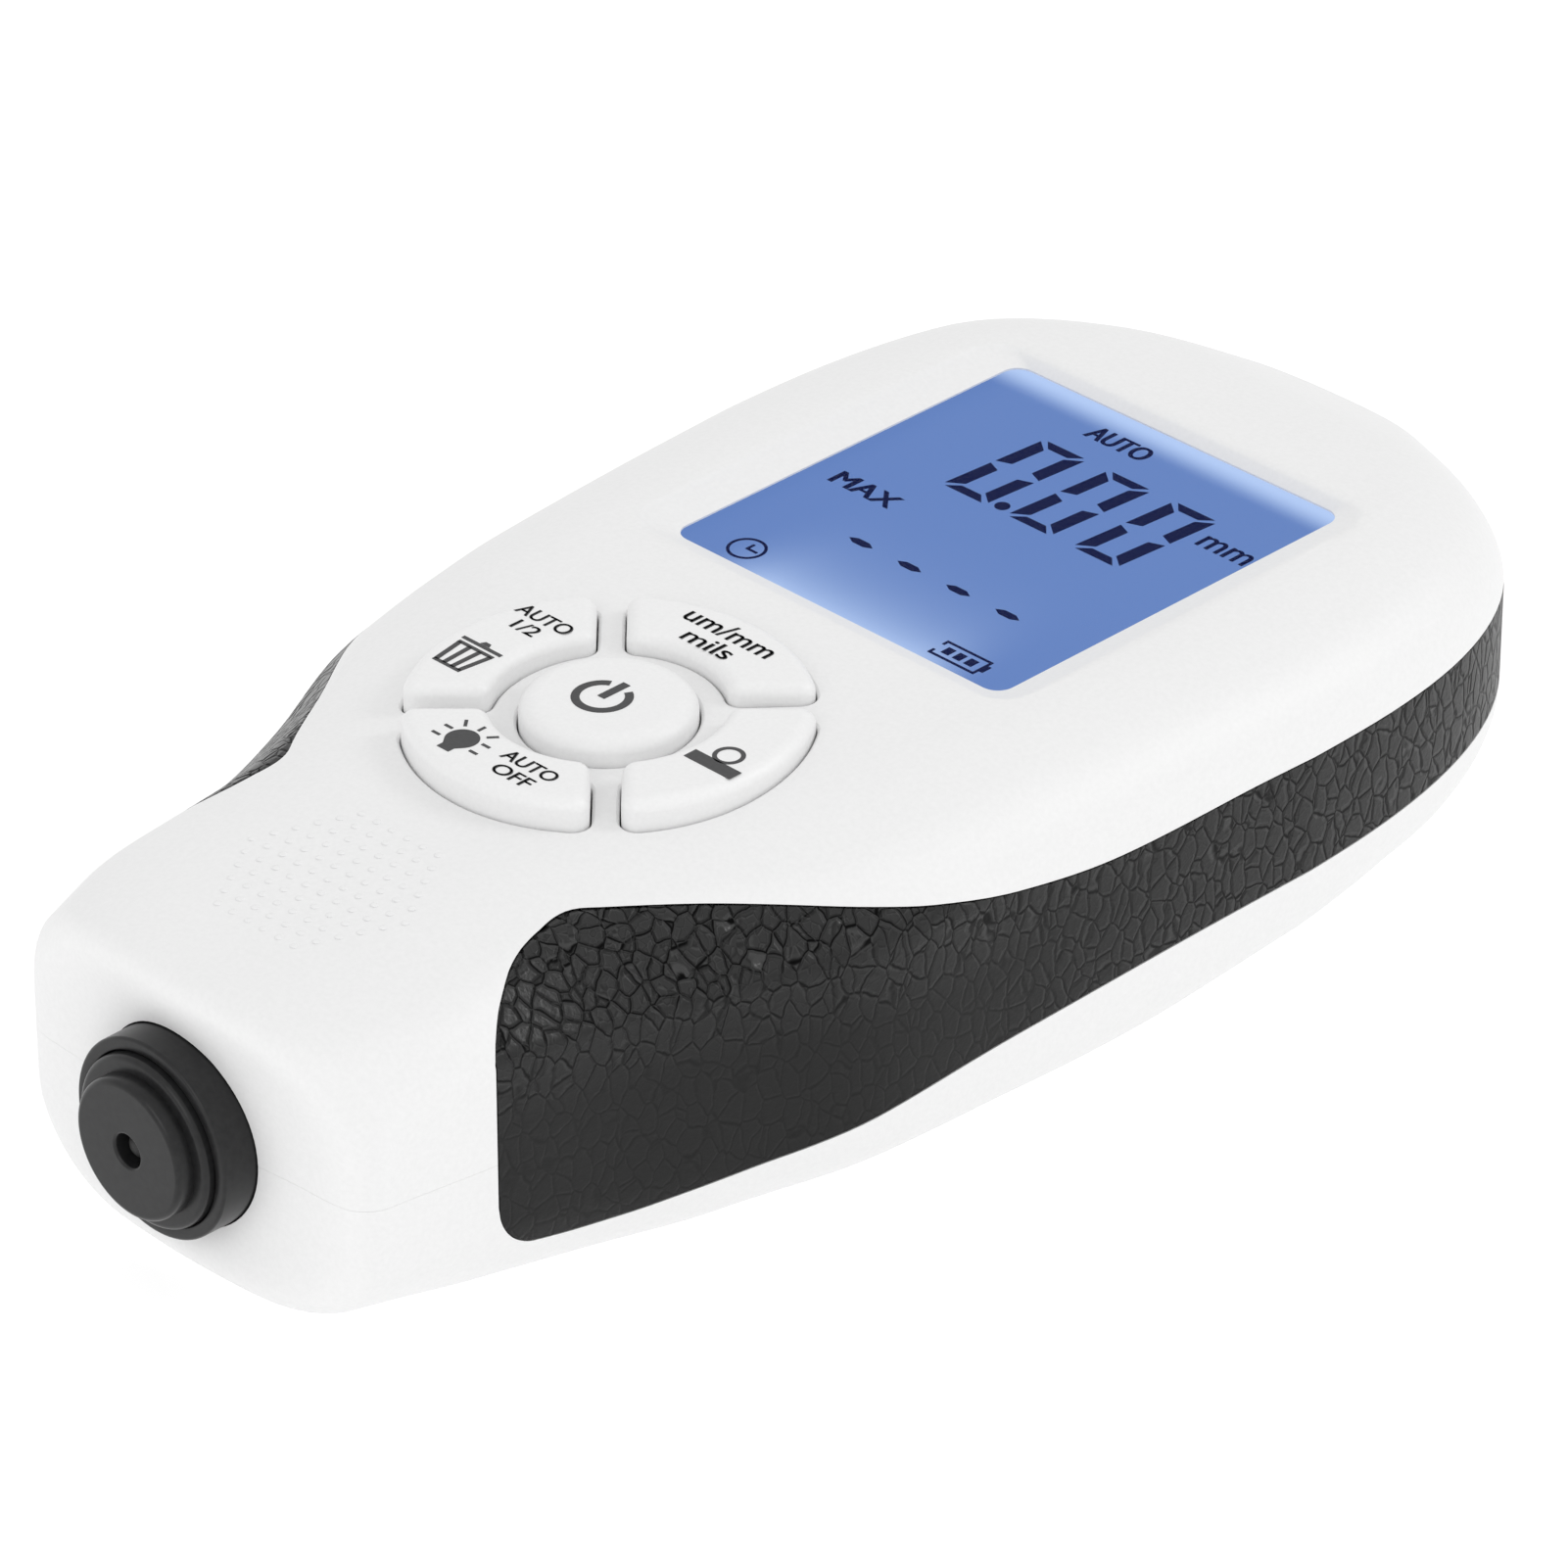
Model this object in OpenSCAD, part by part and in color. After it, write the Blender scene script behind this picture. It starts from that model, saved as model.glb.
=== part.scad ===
// Hand-held coating thickness gauge.
// A paddle-shaped clamshell with a leather-look grip strip, a backlit display,
// a ring of four keys round a power key, and a sprung probe in the nose.
// The gauge lies on its back: +Z up out of the display, nose and probe towards -Y.

/* [Housing] */
// Length of the housing from nose to tail
body_l = 122; // [118:1:128]
// Greatest width, across the head
body_w = 64; // [62:1:70]
// Height of the display face above the table
body_h = 28; // [27.5:0.5:32]
// Width of the neck where the fingers hold it
neck_w = 39.6; // [38:0.2:44]
// Width of the nose
nose_w = 36; // [34:0.5:40]
// Moulded wall thickness
wall = 2; // [1.6:0.1:2.4]
// Height of the seam between the covers, which is the probe axis too
seam_z = 11.8; // [11.4:0.1:12.6]
// How far the top line falls from the display to the nose
nose_fall = 3.6; // [2:0.1:4]
// How far the nose face bulges forward at its middle
nose_bow = 1.6; // [0.4:0.1:2.4]
// Radius of the lip round the nose face
lip_r = 2; // [1:0.1:3]

/* [Grip] */
// Thickness of the leather-look strip
grip_t = 0.9; // [0.6:0.1:1.2]
// Gap round the strip in its recess
grip_gap = 0.15; // [0.1:0.05:0.3]

/* [Display] */
// Width of the display recess at the rim
rim_w = 39; // [36:0.5:40]
// Strip of housing between the key ring and the display recess
keys_to_rim = 5.6; // [4:0.1:8]
// Distance of the recess from the tail
rim_from_tail = 18; // [17:0.5:22]
// Bezel width at the sides of the window
bezel_side = 2.2; // [1.5:0.1:3]
// Bezel width at the ends of the window
bezel_end = 0.9; // [0.6:0.1:2]
// Depth of the sloping bezel
bezel_depth = 0.9; // [0.6:0.1:1.2]
// Thickness of the clear window
window_t = 1.4; // [1:0.1:1.6]
// Thickness of the display glass
lcd_t = 2.2; // [1.6:0.1:2.4]

/* [Keys] */
// Radius of the key ring
ring_r = 15.3; // [14.5:0.1:16]
// Distance of the key ring's centre from the nose
ring_from_nose = 42.9; // [41:0.1:44]
// Radius of the power key
power_r = 6.4; // [5.5:0.1:6.8]
// Width of the webs between the keys
key_web = 2; // [1.6:0.1:2.4]
// Gap round each key
key_gap = 0.3; // [0.2:0.05:0.4]
// Height of the keys above the display face
key_rise = 1.3; // [0.6:0.1:1.6]
// Travel of a key
key_travel = 0.5; // [0.3:0.1:0.6]

/* [Probe] */
// Radius of the black collar
collar_r = 7.8; // [7:0.1:8.2]
// How far the collar stands out of the nose
collar_out = 2.6; // [1.5:0.1:3.5]
// Radius of the probe's measuring face
face_r = 5.5; // [4.5:0.1:6]
// How far the plunger stands out of the collar
plunger_out = 2.2; // [2.1:0.1:3]
// Travel of the plunger
plunger_travel = 2; // [1:0.1:2]
// Running gap round the plunger
plunger_gap = 0.08; // [0.05:0.01:0.1]
// Radius of the hole in the measuring face
tip_hole_r = 1.3; // [1:0.05:1.5]

/* [Battery] */
// Diameter of a cell
cell_d = 10.5; // [10:0.1:10.5]
// Length of a cell
cell_l = 44.5; // [44:0.1:45]
// Distance of the battery bay's far end from the tail
bay_from_tail = 17.7; // [17:0.1:20]
// Thickness of the battery door
door_t = 1.4; // [1.2:0.1:1.6]
// Gap round the battery door
door_gap = 0.25; // [0.2:0.05:0.4]

/* [Board] */
// Thickness of the circuit board
board_t = 1.6; // [1:0.1:1.6]
// Diameter of the case screws' shanks
case_screw_d = 2.6; // [2.2:0.1:3]
// Diameter of the board screws' shanks
board_screw_d = 1.8; // [1.4:0.1:2]

/* [Hidden] */

$fn = 48;
eps = 0.01;
big = 200;

// Colours of the finishes
white = [0.94, 0.94, 0.94];
black = [0.16, 0.16, 0.16];
dark = [0.2, 0.2, 0.2];
blue = [0.42, 0.55, 0.85];
board_green = [0.1, 0.35, 0.2];
steel = [0.75, 0.75, 0.77];

// Depth of the dish in the nose face
dish = 0.5;

// Places along the length
total_l = body_l + collar_out + plunger_out - dish;
tail_y = total_l / 2;
nose_y = tail_y - body_l;
head_run = 38;
nose_run = 14;
wide_y = tail_y - head_run;
neck_y = nose_y + nose_run;

// Run of each shape line from the nose, 0, to the tail, 1
// Flare of the plan outline from the neck, 0, to the head, 1
flare = [[0, 0], [0.13, 0.14], [0.26, 0.4], [0.4, 0.72], [0.59, 0.84], [0.79, 0.93], [1, 1]];
// Squareness of the tail in plan
tail_power = 2.7;
// Fall of the top line below the display face
top_fall = [[0, nose_fall], [0.09, nose_fall - 0.8], [0.17, nose_fall - 1.9], [0.25, 1],
    [0.35, 0.6], [0.47, 0], [0.86, 0], [0.943, 1.5], [1, 4.5]];
// Rise of the underside above the table
floor_rise = [[0, 0], [0.57, 0], [0.73, 0.6], [0.85, 2], [1, 7.8]];
// Half-width of the level part of the top
level = [[0, 4], [0.24, 8], [0.48, 19], [0.85, 19], [1, 6]];
// Slope of the top where it meets the shoulder
edge_slope = [[0, 14], [0.11, 14], [0.24, 16], [0.48, 20], [1, 20]];
// Radius of the shoulder, length of the facet under it, and radius of the fold
shoulder = [[0, 6.4], [0.155, 5.1], [0.28, 4.8], [0.44, 8.4], [1, 7.3]];
facet = [[0, 3.8], [0.074, 1.5], [0.17, 5], [0.254, 5.6], [0.36, 2.3], [0.47, 0.6], [1, 0.6]];
fold = [[0, 3.8], [0.115, 2], [0.24, 1.7], [0.385, 4], [0.48, 4.9], [1, 4.9]];
facet_slope = 45;
// Height and width of the rolled lower edge
roll_h = [[0, 7.6], [0.115, 6.7], [0.24, 5.7], [0.385, 5.2], [0.54, 5.8], [0.69, 7.6], [0.85, 9.4], [1, 3.8]];
roll_w = [[0, 10.8], [0.115, 5], [0.24, 3], [0.385, 9], [0.54, 10], [0.69, 15.5], [0.85, 15.7], [1, 6]];
// Upper edge of the grip strip below the display face, and its lower edge above the table
grip_fall = [[0.106, 7.7], [0.112, 6.8], [0.127, 5.05], [0.147, 3.65], [0.175, 2.8], [0.21, 2.4],
    [0.302, 3.7], [0.39, 5.8], [0.451, 7.4], [0.525, 8.3], [0.65, 7.8], [1, 7.4]];
grip_bottom = [[0.106, 8.5], [0.112, 6.1], [0.13, 4.1], [0.17, 3.5], [0.21, 3.6], [0.287, 5.1],
    [0.366, 7.1], [0.418, 8], [0.574, 9.7], [0.73, 10.7], [0.852, 11.6], [1, 12.6]];

// Smooth curve through a few points
function mix(a, b, t) = a + (b - a) * t;
function span(pts, u, i = 0) = (i >= len(pts) - 2 || u < pts[i + 1][0]) ? i : span(pts, u, i + 1);
function rise(pts, k) =
    let (a = max(k - 1, 0), b = min(k + 1, len(pts) - 1))
    (pts[b][1] - pts[a][1]) / (pts[b][0] - pts[a][0]);
function inside(pts, u) =
    let (i = span(pts, u), h = pts[i + 1][0] - pts[i][0], t = (u - pts[i][0]) / h)
    (2 * t ^ 3 - 3 * t ^ 2 + 1) * pts[i][1] + (t ^ 3 - 2 * t ^ 2 + t) * h * rise(pts, i)
    + (3 * t ^ 2 - 2 * t ^ 3) * pts[i + 1][1] + (t ^ 3 - t ^ 2) * h * rise(pts, i + 1);
function curve(pts, u) =
    u <= pts[0][0] ? pts[0][1] :
    u >= pts[len(pts) - 1][0] ? pts[len(pts) - 1][1] : inside(pts, u);
function along(y) = (y - nose_y) / body_l;

// Half-width of the plan outline, with the skin moved inwards by inset
function head_half(y, inset) =
    (body_w / 2 - inset) * (1 - ((y - wide_y) / (tail_y - inset - wide_y)) ^ tail_power) ^ (1 / tail_power);
function front_half(y, inset) =
    (y < neck_y ? mix(nose_w / 2, neck_w / 2, (y - nose_y) / (neck_y - nose_y))
        : mix(neck_w / 2, body_w / 2, curve(flare, (y - neck_y) / (wide_y - neck_y)))) - inset;
function half_width(y, inset) = y <= wide_y ? front_half(y, inset) : head_half(y, inset);

// Height of the underside above the table
function floor_z(y) = max(0, curve(floor_rise, along(y)));

// Least radius left on a skin moved inwards
tight = 0.6;
// Half-width under which the rounded edges shrink with the section
full_half = 16;
// Greatest shares of a section that its level top and its rolled edge take up
level_share = 0.8;
roll_h_share = 0.45;
roll_w_share = 0.85;
// Half of a cross-section, from the top of the crown round to the underside
function lip_in(y, inset) =
    let (r = max(lip_r - inset, tight), n = min(1, max(0, (nose_y + inset + r - y) / r)))
    r * (1 - sqrt(1 - n * n));
function half_section(y, inset, steps) =
    let (
        u = along(y), lip = lip_in(y, inset), w = half_width(y, inset) - lip,
        zt = body_h - max(0, curve(top_fall, u)) - inset - lip, zb = floor_z(y) + inset + lip,
        s = min(1, w / full_half), a = curve(edge_slope, u), c = facet_slope,
        r1 = max(curve(shoulder, u) - inset - lip / 2, tight) * s, fc = curve(facet, u) * s,
        r2 = max(curve(fold, u) - inset - lip / 2, tight) * s,
        x3 = w - r2 * (1 - sin(c)), x2 = x3 - fc * cos(c), x1 = x2 - r1 * (sin(c) - sin(a)),
        xf = min(curve(level, u), level_share * x1), crown = tan(a) / (2 * (x1 - xf)),
        z1 = zt - crown * (x1 - xf) ^ 2, z2 = z1 - r1 * (cos(a) - cos(c)), z3 = z2 - fc * sin(c),
        z4 = z3 - r2 * cos(c), xm = (xf + x1) / 2,
        bv = min(max(curve(roll_h, u) - inset, tight), roll_h_share * (z4 - zb)),
        bh = min(max(curve(roll_w, u) - inset, tight) * s, roll_w_share * w)
    )
    concat(
        [[0, zt], [xf / 2, zt], [xf, zt], [xm, zt - crown * (xm - xf) ^ 2]],
        [for (i = [0:steps]) let (t = mix(a, c, i / steps))
            [x1 + r1 * (sin(t) - sin(a)), z1 - r1 * (cos(a) - cos(t))]],
        [for (i = [0:steps]) let (t = mix(c, 90, i / steps))
            [x3 + r2 * (sin(t) - sin(c)), z3 - r2 * (cos(c) - cos(t))]],
        [for (i = [0:steps + 2]) let (t = 90 * i / (steps + 2))
            [w - bh + bh * cos(t), zb + bv - bv * sin(t)]],
        [[0, zb]]
    );
function full_ring(y, inset, steps) =
    let (h = half_section(y, inset, steps), n = len(h))
    concat(h, [for (i = [n - 2:-1:1]) [-h[i][0], h[i][1]]]);

// The nose end of every ring is bowed forward at the middle
bow_run = 14;
function bow(x, y, inset) =
    let (t = min(1, max(0, (y - nose_y - inset) / bow_run)))
    nose_bow * (2 * x / nose_w) ^ 2 * (1 - t * t * (3 - 2 * t));
function placed(ring, y, inset) = [for (p = ring) [p[0], y + bow(p[0], y, inset), p[1]]];

// Places of the rings; the last one stands this far round the tail
tail_turn = 86;
function stations(inset, lips, mids, tails) =
    let (r = max(lip_r - inset, tight), y0 = nose_y + inset, y1 = tail_y - inset - wide_y)
    concat(
        [for (i = [0:lips]) y0 + r * (1 - cos(90 * i / lips))],
        [for (i = [1:mids]) mix(y0 + r, wide_y, i / mids)],
        [for (i = [1:tails]) wide_y + y1 * sin(tail_turn * i / tails)]
    );

// The dished nose face is a smaller ring drawn towards the probe axis
dish_share = 0.66;
function dished(ring, inset) =
    [for (p = ring) let (x = p[0] * dish_share, z = mix(seam_z, p[1], dish_share))
        [x, nose_y + inset + dish + bow(x, nose_y + inset, inset), z]];

// Closed skin of the housing, moved inwards by inset
skin_lips = 3;
skin_mids = 14;
skin_tails = 9;
module skin(inset, steps = 3, lips = skin_lips, mids = skin_mids, tails = skin_tails) {
    ys = stations(inset, lips, mids, tails);
    rings = [for (y = ys) full_ring(y, inset, steps)];
    n = len(rings[0]);
    m = len(ys);
    last = (m + 1) * n;
    pts = concat(
        dished(rings[0], inset),
        [for (k = [0:m - 1]) each placed(rings[k], ys[k], inset)],
        [[0, nose_y + inset + dish, seam_z], [0, ys[m - 1], (body_h + seam_z) / 2 - inset]]
    );
    sides = [for (k = [0:m - 1]) for (j = [0:n - 1])
        let (p = k * n + j, q = k * n + (j + 1) % n)
        each [[p, p + n, q + n], [p, q + n, q]]];
    nose = [for (j = [0:n - 1]) [last, j, (j + 1) % n]];
    tail = [for (j = [0:n - 1]) [last + 1, m * n + (j + 1) % n, m * n + j]];
    polyhedron(pts, concat(nose, sides, tail), convexity = 6);
}
// Plainer skins for surfaces inside the housing
inner_steps = 2;
inner_lips = 2;
inner_mids = 9;
inner_tails = 5;
module inner_skin(inset) {
    skin(inset, inner_steps, inner_lips, inner_mids, inner_tails);
}

// Side view of the grip strip, drawn across the whole width
grip_samples = 30;
grip_past_tail = 0.1;
glue_t = 0.05;
module grip_prism(gap) {
    u0 = grip_fall[0][0];
    u1 = 1 + grip_past_tail;
    upper = [for (i = [0:grip_samples]) let (u = mix(u0, u1, (i / grip_samples) ^ 2))
        [nose_y + u * body_l + (i == 0 ? gap : 0), body_h - curve(grip_fall, u) - gap]];
    lower = [for (i = [grip_samples:-1:0]) let (u = mix(u0, u1, (i / grip_samples) ^ 2))
        [nose_y + u * body_l + (i == 0 ? gap : 0), curve(grip_bottom, u) + gap]];
    rotate([90, 0, 90]) linear_extrude(big, center = true) polygon(concat(upper, lower));
}
module grip_recess() {
    difference() {
        grip_prism(0);
        inner_skin(grip_t);
    }
}

// Flat plate with round corners, centred in plan, standing on z = 0
module plate(w, l, h, r) {
    translate([-w / 2, r - l / 2, 0]) cube([w, l - 2 * r, h]);
    translate([r - w / 2, -l / 2, 0]) cube([w - 2 * r, l, h]);
    for (x = [-1, 1]) for (y = [-1, 1])
        translate([x * (w / 2 - r), y * (l / 2 - r), 0]) cylinder(r = r, h = h);
}
// Cylinder along +Y from y0 to y1 on the probe axis
module rod(r, y0, y1) {
    translate([0, y0, seam_z]) rotate([-90, 0, 0]) cylinder(r = r, h = y1 - y0);
}
// Coil spring along +Y, tapering from r0 to r1
coil_sides = 5;
module coil(r0, r1, length, turns, wire_r, per_turn) {
    n = turns * per_turn;
    pts = [for (k = [0:n]) for (j = [0:coil_sides - 1])
        let (a = 360 * k / per_turn, b = 360 * j / coil_sides, r = mix(r0, r1, k / n) + wire_r * cos(b))
        [r * cos(a), mix(wire_r, length - wire_r, k / n) + wire_r * sin(b), r * sin(a)]];
    sides = [for (k = [0:n - 1]) for (j = [0:coil_sides - 1])
        let (p = k * coil_sides + j, q = k * coil_sides + (j + 1) % coil_sides)
        each [[p, q, q + coil_sides], [p, q + coil_sides, p + coil_sides]]];
    first = [for (j = [1:coil_sides - 2]) [0, j + 1, j]];
    last = [for (j = [1:coil_sides - 2]) [n * coil_sides, n * coil_sides + j, n * coil_sides + j + 1]];
    polyhedron(pts, concat(first, sides, last), convexity = 8);
}

// Battery bay
cell_gap = 0.4;
cell_x = cell_d / 2 + cell_gap / 2;
contact_t = 0.4;
contact_room = 0.1;
spring_l = 3.6;
bay_y1 = tail_y - bay_from_tail;
bay_y0 = bay_y1 - cell_l - spring_l - 2 * contact_t - contact_room;
bay_w = 2 * cell_d + 3 * cell_gap;
bay_wall = 1.3;
cell_z = 9.2;
bay_top = cell_z + cell_d / 2 + cell_gap;
door_side_lap = 2;
door_end_lap = 1.3;
door_w = bay_w + 2 * door_side_lap;
door_y0 = bay_y0 - door_end_lap;
door_y1 = bay_y1 + door_end_lap;
door_r = 2;
tab_w = 5;
tab_x = 7;
tab_t = 1.2;
tab_l = 2.2;
tab_base = 1.2;
tab_lift = 0.2;
tab_swing = 1.4;
lip_top = door_t + tab_lift;
tab_z = lip_top + door_gap;
slot_top = tab_z + tab_t + tab_swing;
frame_grow = 3.4;
frame_top = 5;
scoop_r = 9;
scoop_depth = 1.1;
scoop_off = 2;

// Board over the bay
bay_clear = 0.4;
board_z = bay_top + bay_wall + bay_clear;
board_top = board_z + board_t;

// Display stack, from the rim down
ring_y = nose_y + ring_from_nose;
rim_r = 2.5;
window_r = 1.5;
window_lap = 1.5;
window_lip = 0.5;
window_back_r = 1;
glass_r = 0.5;
stack_gap = 0.2;
rim_l = tail_y - rim_from_tail - (ring_y + ring_r + keys_to_rim);
rim_y = tail_y - rim_from_tail - rim_l / 2;
window_w = rim_w - 2 * bezel_side;
window_l = rim_l - 2 * bezel_end;
window_top = body_h - bezel_depth - window_lip;
lcd_side = 1.7;
lcd_end = 2.5;
lcd_w = window_w + 2 * lcd_side;
lcd_l = window_l + 2 * lcd_end;
lcd_top = window_top - window_t - stack_gap;
backlight_top = lcd_top - lcd_t - stack_gap;
backlight_t = backlight_top - board_top - stack_gap;
strip_w = 2;
strip_in = 1;
strip_back = 0.3;
backlight_in = 0.5;
frame_wall = 1.5;
frame_r = 1.5;
frame_gap = 0.2;
frame_w = lcd_w + 2 * (frame_gap + frame_wall);
frame_l = lcd_l + 2 * (frame_gap + frame_wall);

// Keys and switches
key_top = body_h + key_rise;
key_round = 0.9;
key_lap = 0.5;
flange_t = 0.8;
power_hole_r = power_r + key_gap;
ring_in_r = power_hole_r + key_web;
key_deck = 1;
pocket_z = body_h - wall - key_deck;
pocket_gap = 0.7;
flange_gap = 0.3;
flange_top = pocket_z - flange_gap;
flange_z = flange_top - flange_t;
stem_r = 1.5;
switch_w = 4.5;
switch_h = 2;
switch_nub_h = 0.5;
switch_nub_r = 1.1;
switch_top = board_top + switch_h + switch_nub_h;
stem_gap = 0.1;
stem_z = switch_top + key_travel + stem_gap;
key_mid_r = (ring_in_r + ring_r) / 2;
key_turns = [90, 180, 270, 0];

// Probe, measured from the nose face
face_y = nose_y + dish;
collar_y = face_y - collar_out;
plunger_y = collar_y - plunger_out;
step_out = 0.8;
collar_wall = 1;
collar_step = 1.2;
collar_seat = 0.5;
collar_body_l = 10;
bore_step = 0.1;
stop_t = 0.8;
stop_gap = 0.05;
collar_bore_r = collar_r - collar_wall;
collar_body_r = collar_r + collar_step;
collar_shoulder_y = nose_y + wall + dish + collar_seat;
collar_back_y = collar_shoulder_y + collar_body_l;
plunger_bore_r = collar_r - bore_step;
plunger_stop_y = collar_shoulder_y + stop_t;
plunger_r = collar_bore_r - plunger_gap;
plunger_flange_r = plunger_bore_r - 2 * plunger_gap;
plunger_flange_t = 1.5;
plunger_flange_y = plunger_stop_y + stop_gap;
stem_out_r = 4.4;
stem_out_l = 3;
stem_end_y = plunger_flange_y + plunger_flange_t + stem_out_l;
coil_r = 3.4;
coil_gap = 0.1;
face_t = 2;
cap_hole_r = 2.5;
cap_t = 2;
cap_y = collar_back_y - cap_t;
cap_gap = 0.05;
spring_r = 5.9;
spring_wire_r = 0.4;
spring_turns = 4;
spring_gap = 0.05;
spring_facets = 14;

// Screws and their bosses
case_nose_x = 10;
case_tail_x = 11;
case_from_probe = 7.8;
case_from_tail = 8.6;
case_screws_at = [for (x = [-1, 1])
    each [[x * case_nose_x, collar_back_y + case_from_probe], [x * case_tail_x, tail_y - case_from_tail]]];
case_boss_r = 3;
case_sleeve_r = 3.6;
case_head_gap = 0.3;
case_tip_gap = 0.5;
case_head_r = 2.5;
case_head_h = 1.8;
case_seat_z = 8;
case_screw_l = 9;
board_ear = 3.8;
board_screw_in = 4.1;
board_screw_x = 14.5;
board_screw_back = 0.9;
board_screws_at = concat(
    [for (x = [-1, 1]) for (y = [-1, 1])
        [x * (frame_w + board_ear) / 2, rim_y + y * (rim_l / 2 - board_screw_in)]],
    [for (x = [-1, 1]) [x * board_screw_x, ring_y - ring_r + board_screw_back]]
);
board_boss_r = 1.8;
board_head_r = 1.7;
board_head_h = 1.1;
board_screw_l = 4.5;
board_tip_gap = 0.4;
board_hole_gap = 0.15;
screw_gap = 0.1;

// Board outline
board_edge = 1.7;
frame_edge = 0.4;
board_w = frame_w + 2 * board_ear;
board_y0 = ring_y - ring_r - board_edge;
board_y1 = rim_y + frame_l / 2 + frame_edge;
board_front_w = 34;
board_r = 3;

// One quarter of the key ring, with its side cut back from the webs
module quarter(turn, web, h) {
    rotate([0, 0, turn - 45]) translate([web / 2, web / 2, 0]) cube([big, big, h]);
}
// Ring with rounded upper edges
function top_round(r0, r1, h, r) = concat(
    [[r0, 0], [r1, 0]],
    [for (i = [0:4]) [r1 - r + r * cos(22.5 * i), h - r + r * sin(22.5 * i)]],
    r0 > 0 ? [for (i = [4:-1:0]) [r0 + r - r * cos(22.5 * i), h - r + r * sin(22.5 * i)]] : [[r0, h]]
);
module key_openings() {
    translate([0, ring_y, 0]) {
        cylinder(r = power_hole_r, h = big);
        for (t = key_turns) intersection() {
            difference() {
                cylinder(r = ring_r, h = big);
                translate([0, 0, -eps]) cylinder(r = ring_in_r, h = big);
            }
            quarter(t, key_web, big);
        }
    }
}
// One key of the ring: cap, retaining flange and stem
module ring_key(turn) {
    color(white) translate([0, ring_y, 0]) {
        intersection() {
            translate([0, 0, flange_top - eps]) rotate_extrude()
                polygon(top_round(ring_in_r + key_gap, ring_r - key_gap,
                    key_top - flange_top + eps, key_round));
            quarter(turn, key_web + 2 * key_gap, big);
        }
        intersection() {
            translate([0, 0, flange_z]) difference() {
                cylinder(r = ring_r + key_lap, h = flange_t);
                translate([0, 0, -eps]) cylinder(r = ring_in_r - key_lap, h = flange_t + 2 * eps);
            }
            quarter(turn, key_web - 2 * key_lap, big);
        }
        rotate([0, 0, turn]) translate([key_mid_r, 0, stem_z])
            cylinder(r = stem_r, h = flange_z - stem_z + eps);
    }
}
// Low tactile switch soldered to the board
module tact_switch() {
    color(dark) {
        translate([-switch_w / 2, -switch_w / 2, board_top]) cube([switch_w, switch_w, switch_h]);
        translate([0, 0, board_top + switch_h - eps]) cylinder(r = switch_nub_r, h = switch_nub_h + eps);
    }
}
module ring_switch(turn) {
    translate([0, ring_y, 0]) rotate([0, 0, turn]) translate([key_mid_r, 0, 0]) tact_switch();
}

// Half-round rib that holds the probe collar
saddle_w = 26;
saddle_t = 2;
saddle_back = 4.5;
collar_gap = 0.15;
module saddle() {
    translate([-saddle_w / 2, collar_back_y - saddle_back, 0]) cube([saddle_w, saddle_t, body_h]);
}
module probe_room() {
    rod(collar_r + collar_gap, nose_y - wall, collar_shoulder_y);
    rod(collar_body_r + collar_gap, collar_shoulder_y - eps, collar_back_y + collar_gap);
}

module front_cover() {
    color(white) difference() {
        intersection() {
            union() {
                difference() {
                    skin(0);
                    inner_skin(wall);
                    grip_recess();
                }
                intersection() {
                    inner_skin(wall / 2);
                    union() {
                        saddle();
                        for (p = case_screws_at) translate([p[0], p[1], 0])
                            cylinder(r = case_boss_r, h = body_h);
                        for (p = board_screws_at) translate([p[0], p[1], board_top])
                            cylinder(r = board_boss_r, h = body_h);
                    }
                }
            }
            translate([-big / 2, -big / 2, seam_z]) cube(big);
        }
        // Recess with a sloping bezel, then the window's own opening and seat
        translate([0, rim_y, 0]) {
            hull() {
                translate([0, 0, body_h - bezel_depth]) plate(window_w, window_l, eps, window_r, $fn = 32);
                translate([0, 0, body_h]) plate(rim_w, rim_l, 2, rim_r, $fn = 32);
            }
            translate([0, 0, board_top]) plate(window_w, window_l, body_h, window_r);
            translate([0, 0, board_top])
                plate(window_w + 2 * (window_lap + stack_gap), window_l + 2 * (window_lap + stack_gap),
                    window_top - board_top, window_back_r);
        }
        key_openings();
        translate([0, ring_y, board_top]) cylinder(r = ring_r + key_lap + pocket_gap, h = pocket_z - board_top);
        probe_room();
        for (p = case_screws_at) translate([p[0], p[1], 0])
            cylinder(d = case_screw_d, h = case_seat_z + case_screw_l + case_tip_gap);
        for (p = board_screws_at) translate([p[0], p[1], 0])
            cylinder(d = board_screw_d, h = board_top + board_screw_l - board_t + board_tip_gap);
    }
}

module bay_box(grow, z0, z1) {
    translate([-bay_w / 2 - grow, bay_y0 - grow, z0])
        cube([bay_w + 2 * grow, bay_y1 - bay_y0 + 2 * grow, z1 - z0]);
}
module door_prism(gap) {
    translate([0, (door_y0 + door_y1) / 2, -1])
        plate(door_w + 2 * gap, door_y1 - door_y0 + 2 * gap, seam_z, door_r + gap);
}
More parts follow.
